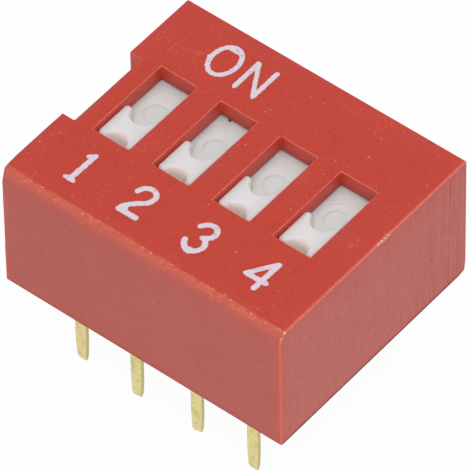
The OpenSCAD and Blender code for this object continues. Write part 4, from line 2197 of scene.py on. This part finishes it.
@dataclass(frozen=True)
class SoftBox:
    """A square lamp that looks at the switch."""

    name: str
    place: Colour
    power: float
    size: float = 260.0

    def hang(self) -> None:
        """Hangs the lamp in the scene."""
        light = bpy.data.lights.new(self.name, "AREA")
        light.energy = self.power
        light.size = self.size * MM
        lamp = bpy.data.objects.new(self.name, light)
        lamp.location = Vector(self.place) * MM
        lamp.rotation_euler = (-lamp.location).to_track_quat("-Z", "Y").to_euler()
        bpy.context.scene.collection.objects.link(lamp)


@dataclass
class Studio:
    """Floor, lamps, world and camera."""

    floor_size: float = 900.0
    backdrop_share: float = 0.96
    floor_colour: Colour = (0.93, 0.93, 0.93)
    sky_strength: float = 0.62
    lamps: tuple[SoftBox, ...] = (SoftBox("soft_box", (110.0, -125.0, 320.0), 0.61),)
    azimuth: float = 39.9003
    elevation: float = 48.3088
    roll: float = -1.214
    camera_place: tuple[float, float, float] = (112.257, -134.37, 198.612)
    lens: float = 609.56
    sensor: float = 36.0
    clip: Point2 = (10.0, 3000.0)
    white: Colour = (1.0, 1.0, 1.0)

    def _open_rays(self, tree: ShaderTree) -> Signal:
        """Finds the rays that see the backdrop: straight, mirrored and through glass.

        Args:
            tree: the tree to add to.

        Returns:
            1 for such a ray, 0 for the others.
        """
        path = tree.node("ShaderNodeLightPath")
        rays = [Signal(tree, path.outputs[f"Is {kind} Ray"]) for kind in ("Camera", "Glossy", "Transmission")]
        return rays[0].at_least(rays[1]).at_least(rays[2])

    def floor(self) -> None:
        """Builds the pale floor under the pins' tips."""
        level = CAD_BOX[0].z / MM
        half = self.floor_size / 2
        shape = Shape()
        corners = [(-half, -half), (half, -half), (half, half), (-half, half)]
        shape.cap(shape.ring([(x, y, level) for x, y in corners]))
        floor = shape.make("floor")
        tree = ShaderTree.for_material("pale_floor")
        matt = tree.node("ShaderNodeBsdfDiffuse", None, {"Color": self.floor_colour})
        glow = tree.node("ShaderNodeEmission", None, {"Color": self.white, "Strength": 1.0})
        share = self._open_rays(tree) * self.backdrop_share
        mixed = tree.node("ShaderNodeMixShader", None, {0: share, 1: matt.outputs[0], 2: glow.outputs[0]})
        tree.node("ShaderNodeOutputMaterial", None, {"Surface": mixed.outputs[0]})
        floor.data.materials.append(tree.owner)

    def sky(self) -> None:
        """Lights the scene evenly, with a white backdrop for the open rays."""
        world = bpy.data.worlds.new("soft_sky")
        bpy.context.scene.world = world
        tree = ShaderTree(world)
        strength = self.sky_strength + (1.0 - self.sky_strength) * self._open_rays(tree)
        glow = tree.node("ShaderNodeBackground", None, {"Color": self.white, "Strength": strength})
        tree.node("ShaderNodeOutputWorld", None, {"Surface": glow.outputs[0]})

    def camera(self) -> None:
        """Sets up the camera."""
        data = bpy.data.cameras.new("camera")
        data.lens = self.lens
        data.sensor_width = self.sensor
        data.clip_start, data.clip_end = (distance * MM for distance in self.clip)
        camera = bpy.data.objects.new("camera", data)
        turn, tilt, roll = (math.radians(a) for a in (self.azimuth, self.elevation, self.roll))
        back = Vector((math.sin(turn) * math.cos(tilt), -math.cos(turn) * math.cos(tilt), math.sin(tilt)))
        level = Vector((0.0, 0.0, 1.0)).cross(back).normalized()
        steep = back.cross(level)
        right = math.cos(roll) * level + math.sin(roll) * steep
        up = back.cross(right)
        pose = camera.matrix_world.to_3x3()
        pose.col[0], pose.col[1], pose.col[2] = right, up, back
        camera.matrix_world = pose.to_4x4()
        camera.location = Vector(self.camera_place) * MM
        bpy.context.scene.collection.objects.link(camera)
        bpy.context.scene.camera = camera

    def build(self) -> None:
        """Builds the whole studio."""
        self.floor()
        self.sky()
        for lamp in self.lamps:
            lamp.hang()
        self.camera()
        bpy.context.scene.view_settings.view_transform = "Standard"


# ---- Dirt ----


@dataclass
class Speck:
    """The grain of dirt at the foot of the second window's back wall."""

    way: int = 2
    shift: float = -0.36
    y: float = 1.93
    z: float = 4.745
    half_size: Colour = (0.08, 0.032, 0.03)
    rings: int = 5
    ring_points: int = 12
    end_tilt: float = 80.0
    swell: float = 0.25
    swell_scale: float = 1.7

    def build(self, finish: bpy.types.Material) -> Piece:
        """Builds the grain.

        Args:
            finish: the dirt.

        Returns:
            The finished piece.
        """
        middle = Vector((way_x(self.way) + self.shift, self.y, self.z))
        rings = []
        for k in range(self.rings):
            tilt = math.radians(self.end_tilt * (2 * k / (self.rings - 1) - 1))
            ring = []
            for x, y in circle((0.0, 0.0), math.cos(tilt), self.ring_points):
                point = Vector((x, y, math.sin(tilt)))
                size = 1.0 + self.swell * noise.noise(point * self.swell_scale)
                ring.append(middle + Vector(h * size * c for h, c in zip(self.half_size, point)))
            rings.append(ring)
        shape = Shape()
        shape.loft(rings)
        piece = Piece(shape.make("dirt_speck"), HOUSING)
        piece.settle(finish)
        return piece


# ---- Whole switch ----

TOOL_MARKS = (ToolMarks(125, 0.15), ToolMarks(185, 2.8), ToolMarks(150, 0.4), ToolMarks(128, 4.2))
# How far each pin's tip stands off in x and outwards, and how much its end slants.
FRONT_PINS = (((0.068, -0.10), 0.0), ((0.027, 0.03), 0.15), ((0.057, 0.01), 0.3), ((-0.026, 0.083), 0.0))
REAR_PINS = (((0.03, 0.04), 0.0), ((-0.02, -0.05), 0.0), ((0.0, 0.03), 0.0), ((-0.16, -0.02), 0.0))


def dress_cad_nodes(finishes: dict[str, bpy.types.Material]) -> None:
    """Gives the CAD nodes that stay shown their materials.

    Args:
        finishes: the material for each start of a node's name.
    """
    for name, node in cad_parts.items():
        for start, finish in finishes.items():
            if name.startswith(start):
                node.data.materials.clear()
                node.data.materials.append(finish)
                LOG.info("%s keeps its CAD mesh", name)


def main() -> None:
    """Builds every piece in order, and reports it."""
    logging.basicConfig(level=logging.INFO, format="%(name)s: %(message)s")
    Studio().build()
    pieces = [Cover().build(), *Print().build(WhiteInk().material())]
    pieces += [Slider(number, tool).build() for number, tool in enumerate(TOOL_MARKS, start=1)]
    pieces.append(Speck().build(DarkDirt().material()))
    gold = PaleGold().material()
    for row, pins in ((Row.FRONT, FRONT_PINS), (Row.REAR, REAR_PINS)):
        for number, (bend, slant) in enumerate(pins, start=1):
            pieces.append(Terminal(number, row, bend, slant).build(gold))
    pieces.append(Seal().build(AmberResin().material()))
    for piece in pieces:
        LOG.info("%s rides %s: %d faces", piece.shown.name, piece.body, len(piece.shown.data.polygons))
    dress_cad_nodes({"base": BlackMoulding().material(), "wiper": SpringBronze().material()})


if __name__ == "__main__":
    main()
